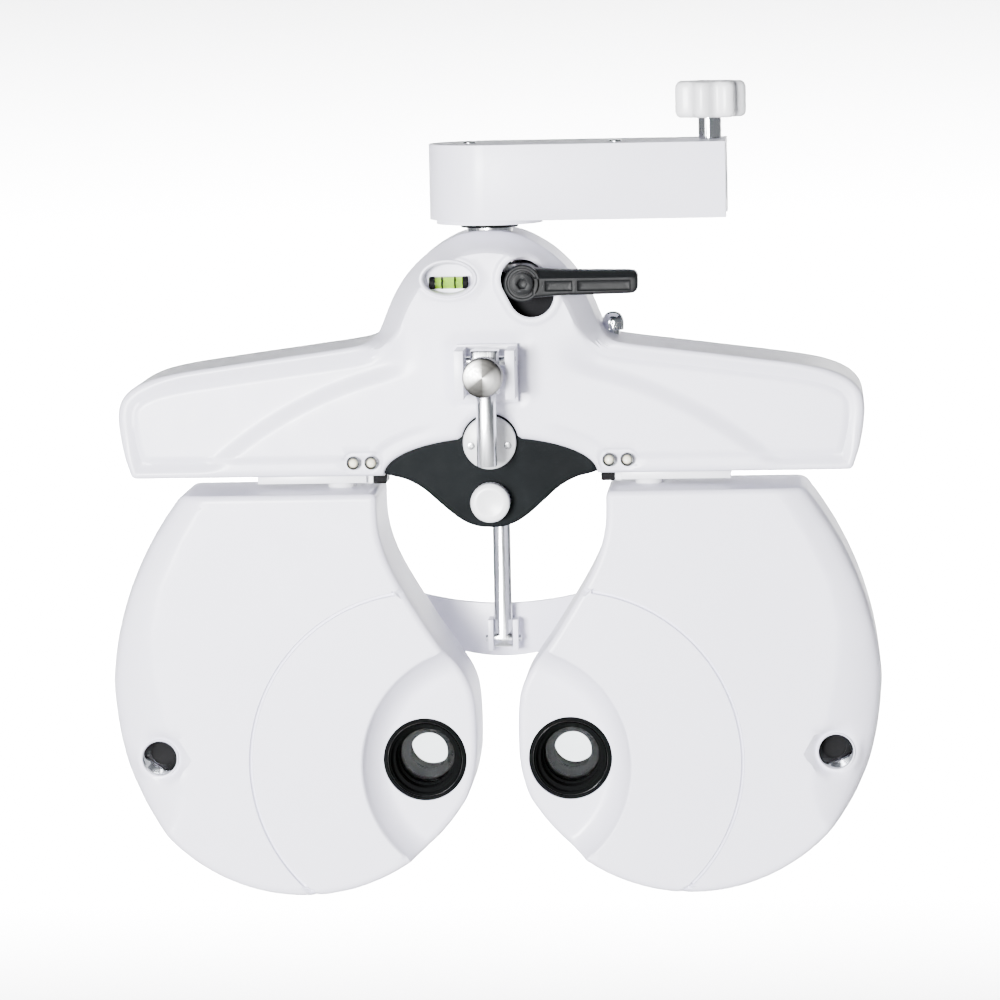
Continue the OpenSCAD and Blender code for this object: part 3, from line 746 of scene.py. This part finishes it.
def oblong(cx, cz, w, h, n=18):
    k = (w - h) / 2
    out = [(cx + k + h / 2 * math.cos(t), cz + h / 2 * math.sin(t)) for t in np.linspace(-math.pi / 2, math.pi / 2, n)]
    out += [(cx - k + h / 2 * math.cos(t), cz + h / 2 * math.sin(t)) for t in np.linspace(math.pi / 2, 1.5 * math.pi, n)]
    return tidy(np.array(out))


def capsule(p, q, r, n=20):
    p, q = np.array(p, float), np.array(q, float)
    a = math.atan2(*(q - p)[::-1])
    out = [p + r * np.array((math.cos(a + math.pi / 2 + t), math.sin(a + math.pi / 2 + t))) for t in np.linspace(0, math.pi, n)]
    out += line(out[-1], q + r * np.array((math.cos(a - math.pi / 2), math.sin(a - math.pi / 2))), 1.3)[1:-1]
    out += [q + r * np.array((math.cos(a - math.pi / 2 + t), math.sin(a - math.pi / 2 + t))) for t in np.linspace(0, math.pi, n)]
    out += line(out[-1], out[0], 1.3)[1:-1]
    return tidy(out)


def cap_dist(x, z, p, q):
    p, q = np.array(p, float), np.array(q, float)
    d = q - p
    t = np.clip(((x - p[0]) * d[0] + (z - p[1]) * d[1]) / (d @ d), 0, 1)
    return np.hypot(x - p[0] - t * d[0], z - p[1] - t * d[1])


LEV_A, LEV_B = (16.0, 211.4), (19.4, 204.8)
F_UP = [(0, 229.7), (12.4, 226.5), (23.4, 218.3), (34, 201.8), (41, 186), (44, 178), (50, 171)]


def cover_height(x, z, d):
    ax = np.abs(x)
    dome = sm(176, 190, z) * (1 - sm(47, 56, ax))
    end = sm(132, 156, ax)
    low = (1 - sm(128, 146, z)) * (1 - dome)
    w = 3.0 + 5.4 * dome + 3.2 * end * (1 - low)
    w = w * (1 - 0.55 * (1 - sm(126.7, 146, z)) * (1 - sm(46, 50, ax)))
    dep = 2.6 + 15.5 * dome + 2.4 * end * (1 - low)
    t = np.clip(d / w, 0, 1)
    rnd = 1 - np.sqrt(np.maximum(1 - (1 - t) ** 2, 0))
    lin = np.clip(1 - t, 0, 1)
    y = dep * (rnd * (1 - 0.88 * dome) + lin * 0.88 * dome)
    # shallow border bevel of the wings
    wd = (1 - dome) * sm(20, 46, ax)
    y = y + wd * 1.0 * (1 - sm(6.6, 8.6, d))
    # swept step that runs from the dome down to the lower edge
    r = np.hypot(x, z + 6.6)
    y = y + 2.6 * sm(183.6 - 4.0, 183.6 + 4.0, r) * sm(30, 48, ax) * (1 - dome) * sm(0, 8, d)
    # oblong recess of the near lights
    k = cap_dist(ax, z, (51.8, 132.7), (59.6, 132.7))
    y = y + 0.8 * (1 - sm(4.3, 5.2, k)) * sm(0.3, 1.2, d)
    # raised lips of the lever and level openings
    kl = cap_dist(x, z, LEV_A, LEV_B)
    y = y - 0.75 * (1 - sm(12.2, 13.6, kl)) * sm(9.5, 10.6, kl) * sm(1, 4, d)
    kv = (np.hypot((x + 16.6) / 12.3, (z - 212.3) / 8.2) - 1) * 9
    y = y - 0.45 * (1 - sm(1.0, 2.2, kv)) * sm(1, 4, d)
    # seat of the rod bracket
    qx, qz = ax - 12.5, np.abs(z - 172.5) - 11.0
    sd = np.hypot(np.maximum(qx, 0), np.maximum(qz, 0)) + np.minimum(np.maximum(qx, qz), 0)
    y = y + 0.7 * (1 - sm(2.2, 4.2, sd))
    return y + 0.8


def cap_rings(p, q, rs):
    return [capsule(p, q, r, max(14, int(r * 1.6))) for r in rs]


lev_rings = cap_rings(LEV_A, LEV_B, (10.4, 10.9, 11.6, 12.2, 12.8, 13.4, 14.0))


def ellipse(a, b, n=72):
    return np.array([(-16.6 + a * math.cos(2 * math.pi * k / n), 212.3 + b * math.sin(2 * math.pi * k / n)) for k in range(n)])


vial_rings = [ellipse(12.3 + k, 8.2 + k) for k in (0.8, 1.3, 1.8, 2.4)]
led_rings = [r * np.array((s, 1)) for s in (1, -1) for r in cap_rings((51.8, 132.7), (59.6, 132.7), (4.1, 4.5, 4.9, 5.4))]
arc_rings = []
for k in (-4.4, -3.2, -1.6, 0, 1.6, 3.2, 4.4):
    a = arc_ring((0, -6.6), 183.6 + k, 2.4)
    arc_rings.append(a[(np.abs(a[:, 0]) > 26) & (a[:, 1] > 120)])
led_holes = [circle(x, 132.7, 3.05, 32) for x in (-59.6, -51.8, 51.8, 59.6)]


def under(x, y, z):
    return z < 127.5 and 47 < abs(x) < 90 and 24.4 < y < 43.6


fc = shell("front_moulding_head", COVER_F, [capsule(LEV_A, LEV_B, 9.8, 22), ellipse(12.0, 7.9)] + led_holes, cover_height, 32.0,
           [18.0, 24.4], WHITE, "head", rings=lev_rings + vial_rings + led_rings + arc_rings,
           offs=(0.12, 0.45, 1.0, 1.7, 2.4, 3.2, 4.2, 5.4, 6.6, 7.8, 8.8, 10), skip=under, hole_offs=(0.35, 0.8), angle=38)
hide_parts("front_cover")


def cover_rear_height(x, z, d):
    ax = np.abs(x)
    e = 4.6
    dd = np.clip(d, 0, e)
    y = 64.0 - (e - np.sqrt(np.maximum(e * e - (e - dd) ** 2, 0)))
    for k in range(9):          # cooling slots
        xc = -40 + 10 * k
        kk = cap_dist(x, z, (xc, 160), (xc, 172))
        y = y - 1.3 * (1 - sm(1.0, 1.6, kk))
    r = np.hypot(x - 70, z - 152)
    return y - 0.9 * (1 - sm(11.2, 12.4, r))


slot_rings = []
for k in range(9):
    slot_rings += cap_rings((-40 + 10 * k, 160), (-40 + 10 * k, 172), (0.7, 1.0, 1.3, 1.6, 2.1))
rc = shell("rear_moulding_head", COVER_R, [circle(70, 152, 7.4, 48)], cover_rear_height, 32.25, [54.0, 43.6], WHITE, "head",
           front=False, rings=slot_rings + [circle(70, 152, r, 60) for r in (10.8, 11.4, 12.0, 12.6)],
           offs=(0.15, 0.55, 1.2, 2.0, 3.0, 4.0, 5.0), skip=under, angle=38)
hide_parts("rear_cover")
for k, (x, z) in enumerate(((-140, 160), (140, 160), (-96, 140), (96, 140), (-30, 206), (30, 206))):
    sc = lathe("cover_screw_%d" % k, [(0, 63.0), (1.2, 63.0), (1.35, 63.95), (2.4, 63.9), (2.7, 63.5), (2.7, 62.4), (0, 62.4)], (x, 0, z), "y", STEEL, "head", n=32)


# fascia: satin black, thin rounded edge
bell = [(46.3, 127.4), (42.6, 126.3), (37, 124.8), (30, 121), (23.5, 115.4), (19, 111.4), (15, 108.2), (10.4, 105.4), (5.4, 103.8), (0, 103.4)]
bl = catmull(bell, 1.6)
half = [np.array(p) for p in line((40, 155), (46.3, 128.6), 3.0)][:-1] + [np.array((46.3, 128.6))] + bl
FAS = tidy(list(reversed([np.array((-p[0], p[1])) for p in half])) [::-1] and
           [np.array((-p[0], p[1])) for p in half] + list(reversed(half))[1:] + line((40, 155), (-40, 155), 3.0)[1:-1])


def fascia_height(x, z, d):
    e = 1.2
    dd = np.clip(d, 0, e)
    y = 3.0 + e - np.sqrt(np.maximum(e * e - (e - dd) ** 2, 0))
    # the lower lip swells a little towards the knob
    return y + 0.7 * sm(12, 40, np.abs(x))


fs = shell("fascia_panel", FAS, [circle(0, 115, 3.3, 40)], fascia_height, 9.0, [6.5], FASCIA, "head", wall=0,
           offs=(0.1, 0.35, 0.8, 1.3, 2.2), grid=3.0)


def close_back(o):
    """Closes an open-backed shell with a cap on every open loop, then turns the faces outward."""
    bm = bmesh.new()
    bm.from_mesh(o.data)
    edges = [e for e in bm.edges if len(e.link_faces) == 1]
    bmesh.ops.holes_fill(bm, edges=edges, sides=0)
    bmesh.ops.recalc_face_normals(bm, faces=bm.faces)
    bm.to_mesh(o.data)
    bm.free()
    crease(o.data, 36)


def solid(o, thick):
    s = o.modifiers.new("wall", "SOLIDIFY")
    s.thickness = thick / 1000.0
    s.offset = -1
    par, mw = o.parent, o.matrix_world.copy()
    apply_all(o)
    crease(o.data, 36)


solid(fs, 2.2)
# boss behind the panel that guides the brow slider
bv, bf = [], []
for y in (8.2, 46.0):
    for hw, za, zb in ((9.6, 106.0, 124.0), (6.4, 108.6, 121.4)):
        bv += [(-hw, y, za), (hw, y, za), (hw, y, zb), (-hw, y, zb)]
for q in range(4):
    n_ = (q + 1) % 4
    bf += [(q, n_, 8 + n_, 8 + q), (4 + n_, 4 + q, 12 + q, 12 + n_), (q, 4 + q, 4 + n_, n_), (8 + q, 8 + n_, 12 + n_, 12 + q)]
boss = new_obj("slider_boss", bv, bf, FASCIA, "head")
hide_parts("centre_fascia")


# ------------------------------------------------------------------ lever
def lever_outline():
    L = 49.6
    pts = [(4, -6.4), (10, -5.9), (16, -5.5), (24, -5.35), (34, -5.2), (46, -5.0)]
    tip = [(L - 1.6, -4.7), (L - 0.5, -3.8), (L, -2.4), (L, 2.4), (L - 0.5, 3.8), (L - 1.6, 4.7)]
    top = [(46, 5.0), (34, 5.2), (24, 5.35), (16, 5.5), (10, 5.9), (4, 6.4)]
    run = []
    seq = pts + tip + top
    for a, b in zip(seq, seq[1:]):
        run += line(a, b, 1.1)[:-1]
    run.append(np.array(top[-1], float))
    run += line((4, 6.4), (4, -6.4), 1.1)[1:-1]
    return tidy(run)


def lever_height(x, z, d):
    e = 1.1
    dd = np.clip(d, 0, e)
    y = -14 + e - np.sqrt(np.maximum(e * e - (e - dd) ** 2, 0))
    y = y + np.clip(z - 1.9, 0, 9) * 0.85
    for a, b in ((9.6, 21.6), (23.6, 46.6)):
        sd = np.maximum(np.maximum(a - x, x - b), np.maximum(-3.7 - z, z - 0.9))
        y = y + 0.75 * (1 - sm(-0.45, 0.05, sd))
    return y


lo_ = lever_outline()
rr = []
for a, b in ((9.6, 21.6), (23.6, 46.6)):
    for g in (-0.6, -0.3, 0.0, 0.25):
        q = []
        for m, n_ in (((a - g, -3.7 - g), (b + g, -3.7 - g)), ((b + g, -3.7 - g), (b + g, 0.9 + g)), ((b + g, 0.9 + g), (a - g, 0.9 + g)), ((a - g, 0.9 + g), (a - g, -3.7 - g))):
            q += line(m, n_, 0.8)[:-1]
        rr.append(np.array(q))
rr.append(np.array(line((5, 1.9), (48, 1.9), 0.8)))
rr.append(np.array(line((5, 2.3), (48, 2.3), 0.8)))
han = shell("lever_handle", lo_, [], lambda x, z, d: lever_height(x, z, d), -4.6, [-9.0], LEVER, "lever", wall=0, rings=rr,
            offs=(0.08, 0.3, 0.7, 1.2), grid=1.6, cx=0.0)
close_back(han)
for v in han.data.vertices:          # from its own drawing to the hub's place
    v.co += Vector((0.0164, 0, 0.2108))
hub = lathe("lever_hub", [(4.1, -13.0), (4.6, -13.9), (5.3, -13.9), (5.6, -13.4), (6.4, -13.4), (6.8, -14.0), (7.4, -14.0), (8.0, -13.4),
                          (8.0, -4.0), (7.6, -3.4), (7.6, 13.0), (7.0, 13.6), (4.1, 13.6)], (16.4, 0, 210.8), "y", LEVER, "lever", n=72, angle=25)
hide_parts("clamp_lever")
soften("lever_stud", 0.3, 2, CHROME if False else LEVER)

# ------------------------------------------------------------------ knobs and small parts
# near rod clamp knob: knurled rim, turned face with a painted bow-tie reflection in its colour
def knurl(th, a, r):
    return -0.28 * (0.5 + 0.5 * math.cos(th * 48)) ** 2 if (-38.7 < a < -31.9 and r > 8.4) else 0.0


kn = lathe("rod_knob", [(0, -40.0), (7.6, -40.0), (8.2, -39.75), (8.55, -39.2), (8.65, -38.5), (8.65, -35.4), (8.65, -32.2), (8.5, -31.3),
                        (7.9, -30.7), (4.0, -30.6), (4.0, -24.4), (2.0, -24.4), (2.0, -21.4), (0, -21.4)], (0, 0, 172.6), "y", TURNED_PAINTED_REFLECTION, "rod_clamp", n=288, wave=knurl, angle=28)
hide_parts("near_rod_knob")
# forehead knob: white, faceted side and shallow dimple
bk = lathe("brow_knob", [(0, -5.7), (4.6, -5.75), (5.4, -6.0), (7.2, -5.95), (8.1, -5.4), (8.5, -4.6), (8.55, -3.9), (8.55, 0.6), (8.55, 1.5), (8.3, 2.3), (7.6, 2.65), (3.0, 2.7), (3.0, 50), (0, 50)],
           (0, 0, 115), "y", WHITE_KNOB, "brow_screw", n=180,
           wave=lambda th, a, r: -0.22 * (0.5 + 0.5 * math.cos(th * 30)) ** 3 if (-4.3 < a < 1.9 and r > 8.4) else 0.0, angle=40)
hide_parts("forehead_knob")


# star knob: seven soft lobes on a chrome stem
def star(th, a, r):
    if r < 9:
        return 0.0
    return (r / 16.0) * (-1.5 + 1.5 * math.cos(7 * th) * (1 if math.cos(7 * th) > 0 else 1.25))


sk = lathe("star_grip", [(0, 280.6), (4.6, 280.6), (4.9, 278.9), (9.2, 278.9), (14.0, 279.1), (15.4, 279.9), (15.95, 281.4), (15.95, 284), (15.95, 290), (15.95, 292.2), (15.4, 293.8),
                         (14.0, 294.7), (10.4, 294.8), (9.6, 294.1), (5.4, 293.9), (0, 293.9)], (97, 32, 0), "z", WHITE_KNOB, "arm_clamp", n=252, wave=star, angle=42)
st = lathe("star_stem", [(0, 264.7), (3.6, 264.7), (4.0, 265.2), (4.0, 269.8), (4.7, 269.8), (5.0, 270.1), (5.0, 280.4), (0, 280.4)], (97, 32, 0), "z", CHROME, "arm_clamp", n=64)
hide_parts("star_knob")
# levelling knob: knurled dome
lk = lathe("level_knurl", [(0, 179.7), (2.9, 179.7), (2.9, 186.0), (4.3, 186.0), (4.7, 186.4), (4.75, 187), (4.75, 189.4), (4.6, 190.6), (4.1, 192.2), (2.9, 193.5), (1.4, 194.1), (0, 194.2)],
           (53, 40, 0), "z", CHROME, "level_screw", n=120,
           wave=lambda th, a, r: -0.25 * (0.5 + 0.5 * math.cos(th * 24)) ** 2 if (186.6 < a < 189.9 and r > 4.6) else 0.0, angle=40)
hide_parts("level_knob")
# level bezel: oval lip round a deep recess
bz, bq, m = [], [], 72
for a, b, y in ((12.5, 8.4, 0.6), (12.6, 8.5, -0.3), (12.2, 8.1, -0.85), (11.6, 7.5, -0.95), (11.0, 6.9, -0.4), (10.7, 6.6, 1.0), (10.5, 6.4, 7.4), (9.0, 5.0, 7.6)):
    bz += [(p[0], y, p[1]) for p in ellipse(a, b, m)]
bz += [(p[0], 9.0, p[1]) for p in ellipse(11.7, 7.6, m)] + [(p[0], 0.9, p[1]) for p in ellipse(11.8, 7.7, m)]
for k in range(10):
    for q in range(m):
        a, b = k * m + q, k * m + (q + 1) % m
        if k < 7:
            bq.append((a, b, b + m, a + m))
        elif k == 8:
            bq.append((a, b, b + m, a + m))
bq += [tuple(7 * m + q for q in range(m)), tuple(8 * m + q for q in reversed(range(m)))]
bq += [(9 * m + q, 9 * m + (q + 1) % m, (q + 1) % m, q) for q in range(m)]
bo = new_obj("level_lip", bz, bq, WHITE, "head", angle=36)
bm = bmesh.new()
bm.from_mesh(bo.data)
bmesh.ops.recalc_face_normals(bm, faces=bm.faces)
bm.to_mesh(bo.data)
bm.free()
crease(bo.data, 36)
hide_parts("level_bezel")
# near lights: chrome rim round a warm dome
for k, x in enumerate((-59.6, -51.8, 51.8, 59.6)):
    r_ = lathe("light_rim_%d" % k, [(2.05, -0.2), (2.15, -0.55), (2.6, -0.75), (2.9, -0.5), (2.98, 0.0), (2.98, 5.9), (2.05, 5.9)], (x, 0, 132.7), "y", RIM, "head", n=48)
    d_ = lathe("light_dome_%d" % k, [(0, -1.35), (0.7, -1.25), (1.35, -0.9), (1.8, -0.3), (1.98, 0.4), (1.98, 5.8), (0, 5.8)], (x, 0, 132.7), "y", LAMP, "head", n=40)
    if k == 0:
        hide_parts("near_lights")
# hub disc with two slotted screws
hd = lathe("hub_plate", [(0, -0.55), (10.8, -0.55), (11.4, -0.3), (11.6, 0.2), (11.6, 2.9), (0, 2.9)], (0, 0, 140.8), "y", HUB, "head", n=96)
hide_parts("hub_disc")
for s in (-1, 1):
    q = lathe("hub_screw_%d" % (s + 1), [(0, -0.75), (0.62, -0.75), (0.7, -1.28), (1.4, -1.2), (1.6, -0.9), (1.6, 0.0), (0, 0.0)], (s * 8, 0, 139.6), "y", RIM, "head", n=28)

soften("arm_housing", 2.6, 4, WHITE)
soften("arm_base_plate", 0.9, 2, WHITE)
soften("rod_bracket", 0.7, 3, WHITE)


def prism(name, half_w, half_d, y0, z0, z1, mat, body, power=3.2, hole=None, n=72, ch=0.7):
    """Upright bar with a rounded cross-section and softened ends; hole is a round socket in its lower end."""
    def ring(k, z):
        out = []
        for q in range(n):
            t = 2 * math.pi * q / n
            c, w = math.cos(t), math.sin(t)
            out.append(((half_w - k) * math.copysign(abs(c) ** (2 / power), c), y0 + (half_d - k) * math.copysign(abs(w) ** (2 / power), w), z))
        return out

    def hole_ring(r, z):
        return [(r * math.cos(2 * math.pi * q / n), y0 + r * math.sin(2 * math.pi * q / n), z) for q in range(n)]
    seq = [ring(ch, z0), ring(ch * 0.3, z0 + ch * 0.3), ring(0, z0 + ch), ring(0, z1 - ch), ring(ch * 0.3, z1 - ch * 0.3), ring(ch, z1)]
    if hole:
        seq = [hole_ring(hole[0], z0 + hole[1]), hole_ring(hole[0], z0 + 0.4), hole_ring(hole[0] + 0.35, z0)] + seq
    vs, fs_ = [], []
    for q in seq:
        vs += q
    for k in range(len(seq) - 1):
        for q in range(n):
            a, b = k * n + q, k * n + (q + 1) % n
            fs_.append((a, b, b + n, a + n))
    fs_.append(tuple(reversed(range(n))))
    fs_.append(tuple((len(seq) - 1) * n + q for q in range(n)))
    return new_obj(name, vs, fs_, mat, body, angle=34)


rb = prism("rod_bar", 4.3, 4.7, -18, 132.4, 165.2, STEEL, "rod_holder", power=2.5, hole=(3.0, 30))
hb = prism("rod_head", 6.2, 6.0, -18, 164, 183, STEEL, "rod_holder", power=6.0, ch=0.9)
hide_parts("near_rod_bar")
soften("forehead_rest", 0.9, 3, WHITE)
soften("forehead_slider", 0.5, 2, CAST)
soften("forehead_rod", 0.5, 2, STEEL)
soften("cable_socket", 0.4, 2, BLACK)
soften("carriage_right", 0.5, 2, WHITE_KNOB)
soften("carriage_left", 0.5, 2, WHITE_KNOB)
# dark blocks at the outer ends of the carriages, filling the dark stretch of the slot gap, with a pale seat behind each
for side, s in (("right", 1), ("left", -1)):
    for nm, cx_, hx, mt, sl in (("travel_stop_", 50.2, 3.1, DARK, "black_plastic"), ("stop_seat_", 54.8, 1.5, WHITE_KNOB, "white_shell")):
        v, f = [], []
        for k, z in ((0.5, 120.9), (0.0, 121.4), (0.0, 124.6), (0.5, 125.1)):
            v += [(s * (cx_ + a * (1 - k / hx)), 32 + b * (1 - k / 7), z) for a, b in ((-hx, -7), (hx, -7), (hx, 7), (-hx, 7))]
        for k in range(3):
            for q in range(4):
                a, b = 4 * k + q, 4 * k + (q + 1) % 4
                f.append((a, b, b + 4, a + 4) if s > 0 else (a + 4, b + 4, b, a))
        f += [(3, 2, 1, 0), (12, 13, 14, 15)] if s > 0 else [(0, 1, 2, 3), (15, 14, 13, 12)]
        bl_ = new_obj(nm + side, v, f, mt, "carriage_" + side)
soften("thrust_washer", 0.2, 1, BLACK)
soften("near_rod_pin", 0.3, 2, STEEL)
soften("forehead_pin", 0.25, 2, STEEL)
soften("arm_core", 0.6, 2, CAST)
soften("tilt_plate", 0.5, 2, CAST)

# screws on the arm's top, and a dark slot scale in the level
for k, (x, y) in enumerate(((-8, 30), (56, 22))):
    q = lathe("arm_screw_%d" % k, [(0, 269.2), (1.3, 269.2), (1.5, 270.3), (2.6, 270.2), (3.0, 269.8), (3.0, 268.6), (0, 268.6)], (x, y, 0), "z", STEEL, "arm", n=36)
for k, x in enumerate((-19.4, -13.8)):
    q = lathe("vial_mark_%d" % k, [(2.62, x - 0.25), (2.72, x - 0.25), (2.72, x + 0.25), (2.62, x + 0.25)], (0, 4.2, 210.4), "x", DARK, "head", n=40)
for k, (a, b) in enumerate(((-25, -22.6), (-10.6, -8.2))):
    q = lathe("vial_cap_%d" % k, [(0, a + 0.1), (2.5, a + 0.1), (2.75, a + 0.35), (2.75, b - 0.2), (2.6, b), (0, b)], (0, 4.2, 210.4), "x", DARK, "head", n=40)


# forehead pad: crowned, soft, thin at its edge
def pad():
    nu, nv = 44, 18
    verts, faces = [], []

    def pt(u, v, f):
        x = 43.2 * u
        zt, zb = 60 + 0.0030 * x * x - 2.8, 36 + 0.0062 * x * x + 2.8
        z = (zt + zb) / 2 + (zt - zb) / 2 * v
        k = (max(0, 1 - abs(u) ** 5)) ** 0.4 * (max(0, 1 - abs(v) ** 3)) ** 0.5
        r = 126.94 - (4.1 * k if f else 0.0) - (0 if f else 0)
        return (x, 208 - math.sqrt(r * r - x * x), z)
    g = {}
    for f in (0, 1):
        for i in range(nu + 1):
            for j in range(nv + 1):
                u, v = math.sin(math.pi / 2 * (2 * i / nu - 1)), math.sin(math.pi / 2 * (2 * j / nv - 1))
                if f and (i in (0, nu) or j in (0, nv)):
                    g[f, i, j] = g[0, i, j]
                    continue
                g[f, i, j] = len(verts)
                verts.append(pt(u, v, f))
    for f in (0, 1):
        for i in range(nu):
            for j in range(nv):
                q = (g[f, i, j], g[f, i + 1, j], g[f, i + 1, j + 1], g[f, i, j + 1])
                faces.append(q if not f else tuple(reversed(q)))
    return verts, faces


pv, pf = pad()
po = new_obj("brow_pad", pv, pf, PAD, "brow_rest", angle=60)
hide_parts("forehead_pad")

# ------------------------------------------------------------------ stage, light, camera
fl_z = cad_lo.z - 0.20
sv, sf = [], []
prof = [(-4.6, fl_z), (3.3, fl_z)] + [(3.3 + 1.5 * math.sin(rad(a)), fl_z + 1.5 - 1.5 * math.cos(rad(a))) for a in range(5, 91, 5)] + [(4.8, fl_z + 4.2)]
for k, (y, z) in enumerate(prof):
    sv += [(-5.2, y, z), (5.0, y, z)]
    if k:
        sf.append((2 * k - 2, 2 * k - 1, 2 * k + 1, 2 * k))
sme = bpy.data.meshes.new("sweep")
sme.from_pydata(sv, [], sf)
for p in sme.polygons:
    p.use_smooth = True
FLOOR = plastic("pale_floor", (0.86, 0.86, 0.87), (0.885, 0.885, 0.895), 0.85, 0.95, grain=60, grain_s=0.01, spec=0.1, cloud=1.5)
sme.materials.append(FLOOR)
sweep = bpy.data.objects.new("sweep", sme)
bpy.context.scene.collection.objects.link(sweep)

world = bpy.data.worlds.new("soft_studio")
bpy.context.scene.world = world
world.use_nodes = True
wn = world.node_tree
bg = wn.nodes["Background"]
tc = wn.nodes.new("ShaderNodeTexCoord")
sep = wn.nodes.new("ShaderNodeSeparateXYZ")
wn.links.new(tc.outputs["Generated"], sep.inputs["Vector"])
rp = wn.nodes.new("ShaderNodeValToRGB")
rp.color_ramp.elements[0].position = 0.02
rp.color_ramp.elements[0].color = (0.42, 0.44, 0.47, 1)
rp.color_ramp.elements[1].position = 0.7
rp.color_ramp.elements[1].color = (0.05, 0.06, 0.075, 1)
wn.links.new(sep.outputs["Z"], rp.inputs["Fac"])
wn.links.new(rp.outputs["Color"], bg.inputs["Color"])
bg.inputs["Strength"].default_value = 0.6

mid = P(0, 0, 100)


def area(name, loc, size, power, target=mid, colour=(1, 1, 1), spread=180):
    L = bpy.data.lights.new(name, "AREA")
    L.shape = "RECTANGLE"
    L.size, L.size_y = size
    L.energy = power
    L.color = colour
    L.spread = rad(spread)
    o = bpy.data.objects.new(name, L)
    bpy.context.scene.collection.objects.link(o)
    o.location = loc
    o.rotation_mode = "QUATERNION"
    o.rotation_quaternion = (Vector(target) - Vector(loc)).to_track_quat("-Z", "Y")
    return o


area("key", mid + Vector((-0.75, -2.95, 0.22)), (0.8, 0.6), 350)
area("side", mid + Vector((-1.9, -2.3, 0.10)), (0.6, 0.9), 24)
area("floor_light", (mid.x, 2.57, 1.5), (4.6, 3.45), 1450, target=(mid.x, 2.571, -1), spread=44)
area("rear", mid + Vector((0.9, 2.6, 0.6)), (1.4, 0.8), 14)

# camera: fitted to the view, no shift
C = P(140.0, -2125.77, 360.0)
yaw, pitch, roll, fpx = -0.06386, -0.11415, -0.02069, 4935.0
fw = Vector((math.sin(yaw) * math.cos(pitch), math.cos(yaw) * math.cos(pitch), math.sin(pitch)))
r_ = fw.cross(Vector((0, 0, 1))).normalized()
u_ = r_.cross(fw)
r2 = r_ * math.cos(roll) + u_ * math.sin(roll)
u2 = -r_ * math.sin(roll) + u_ * math.cos(roll)
cam = bpy.data.cameras.new("view")
cam.sensor_width = 36.0
cam.lens = fpx / 1000.0 * 36.0
cam.clip_start, cam.clip_end = 0.05, 20
co = bpy.data.objects.new("view", cam)
bpy.context.scene.collection.objects.link(co)
M = Matrix((r2, u2, -fw)).transposed().to_4x4()
M.translation = C
co.matrix_world = M
bpy.context.scene.camera = co
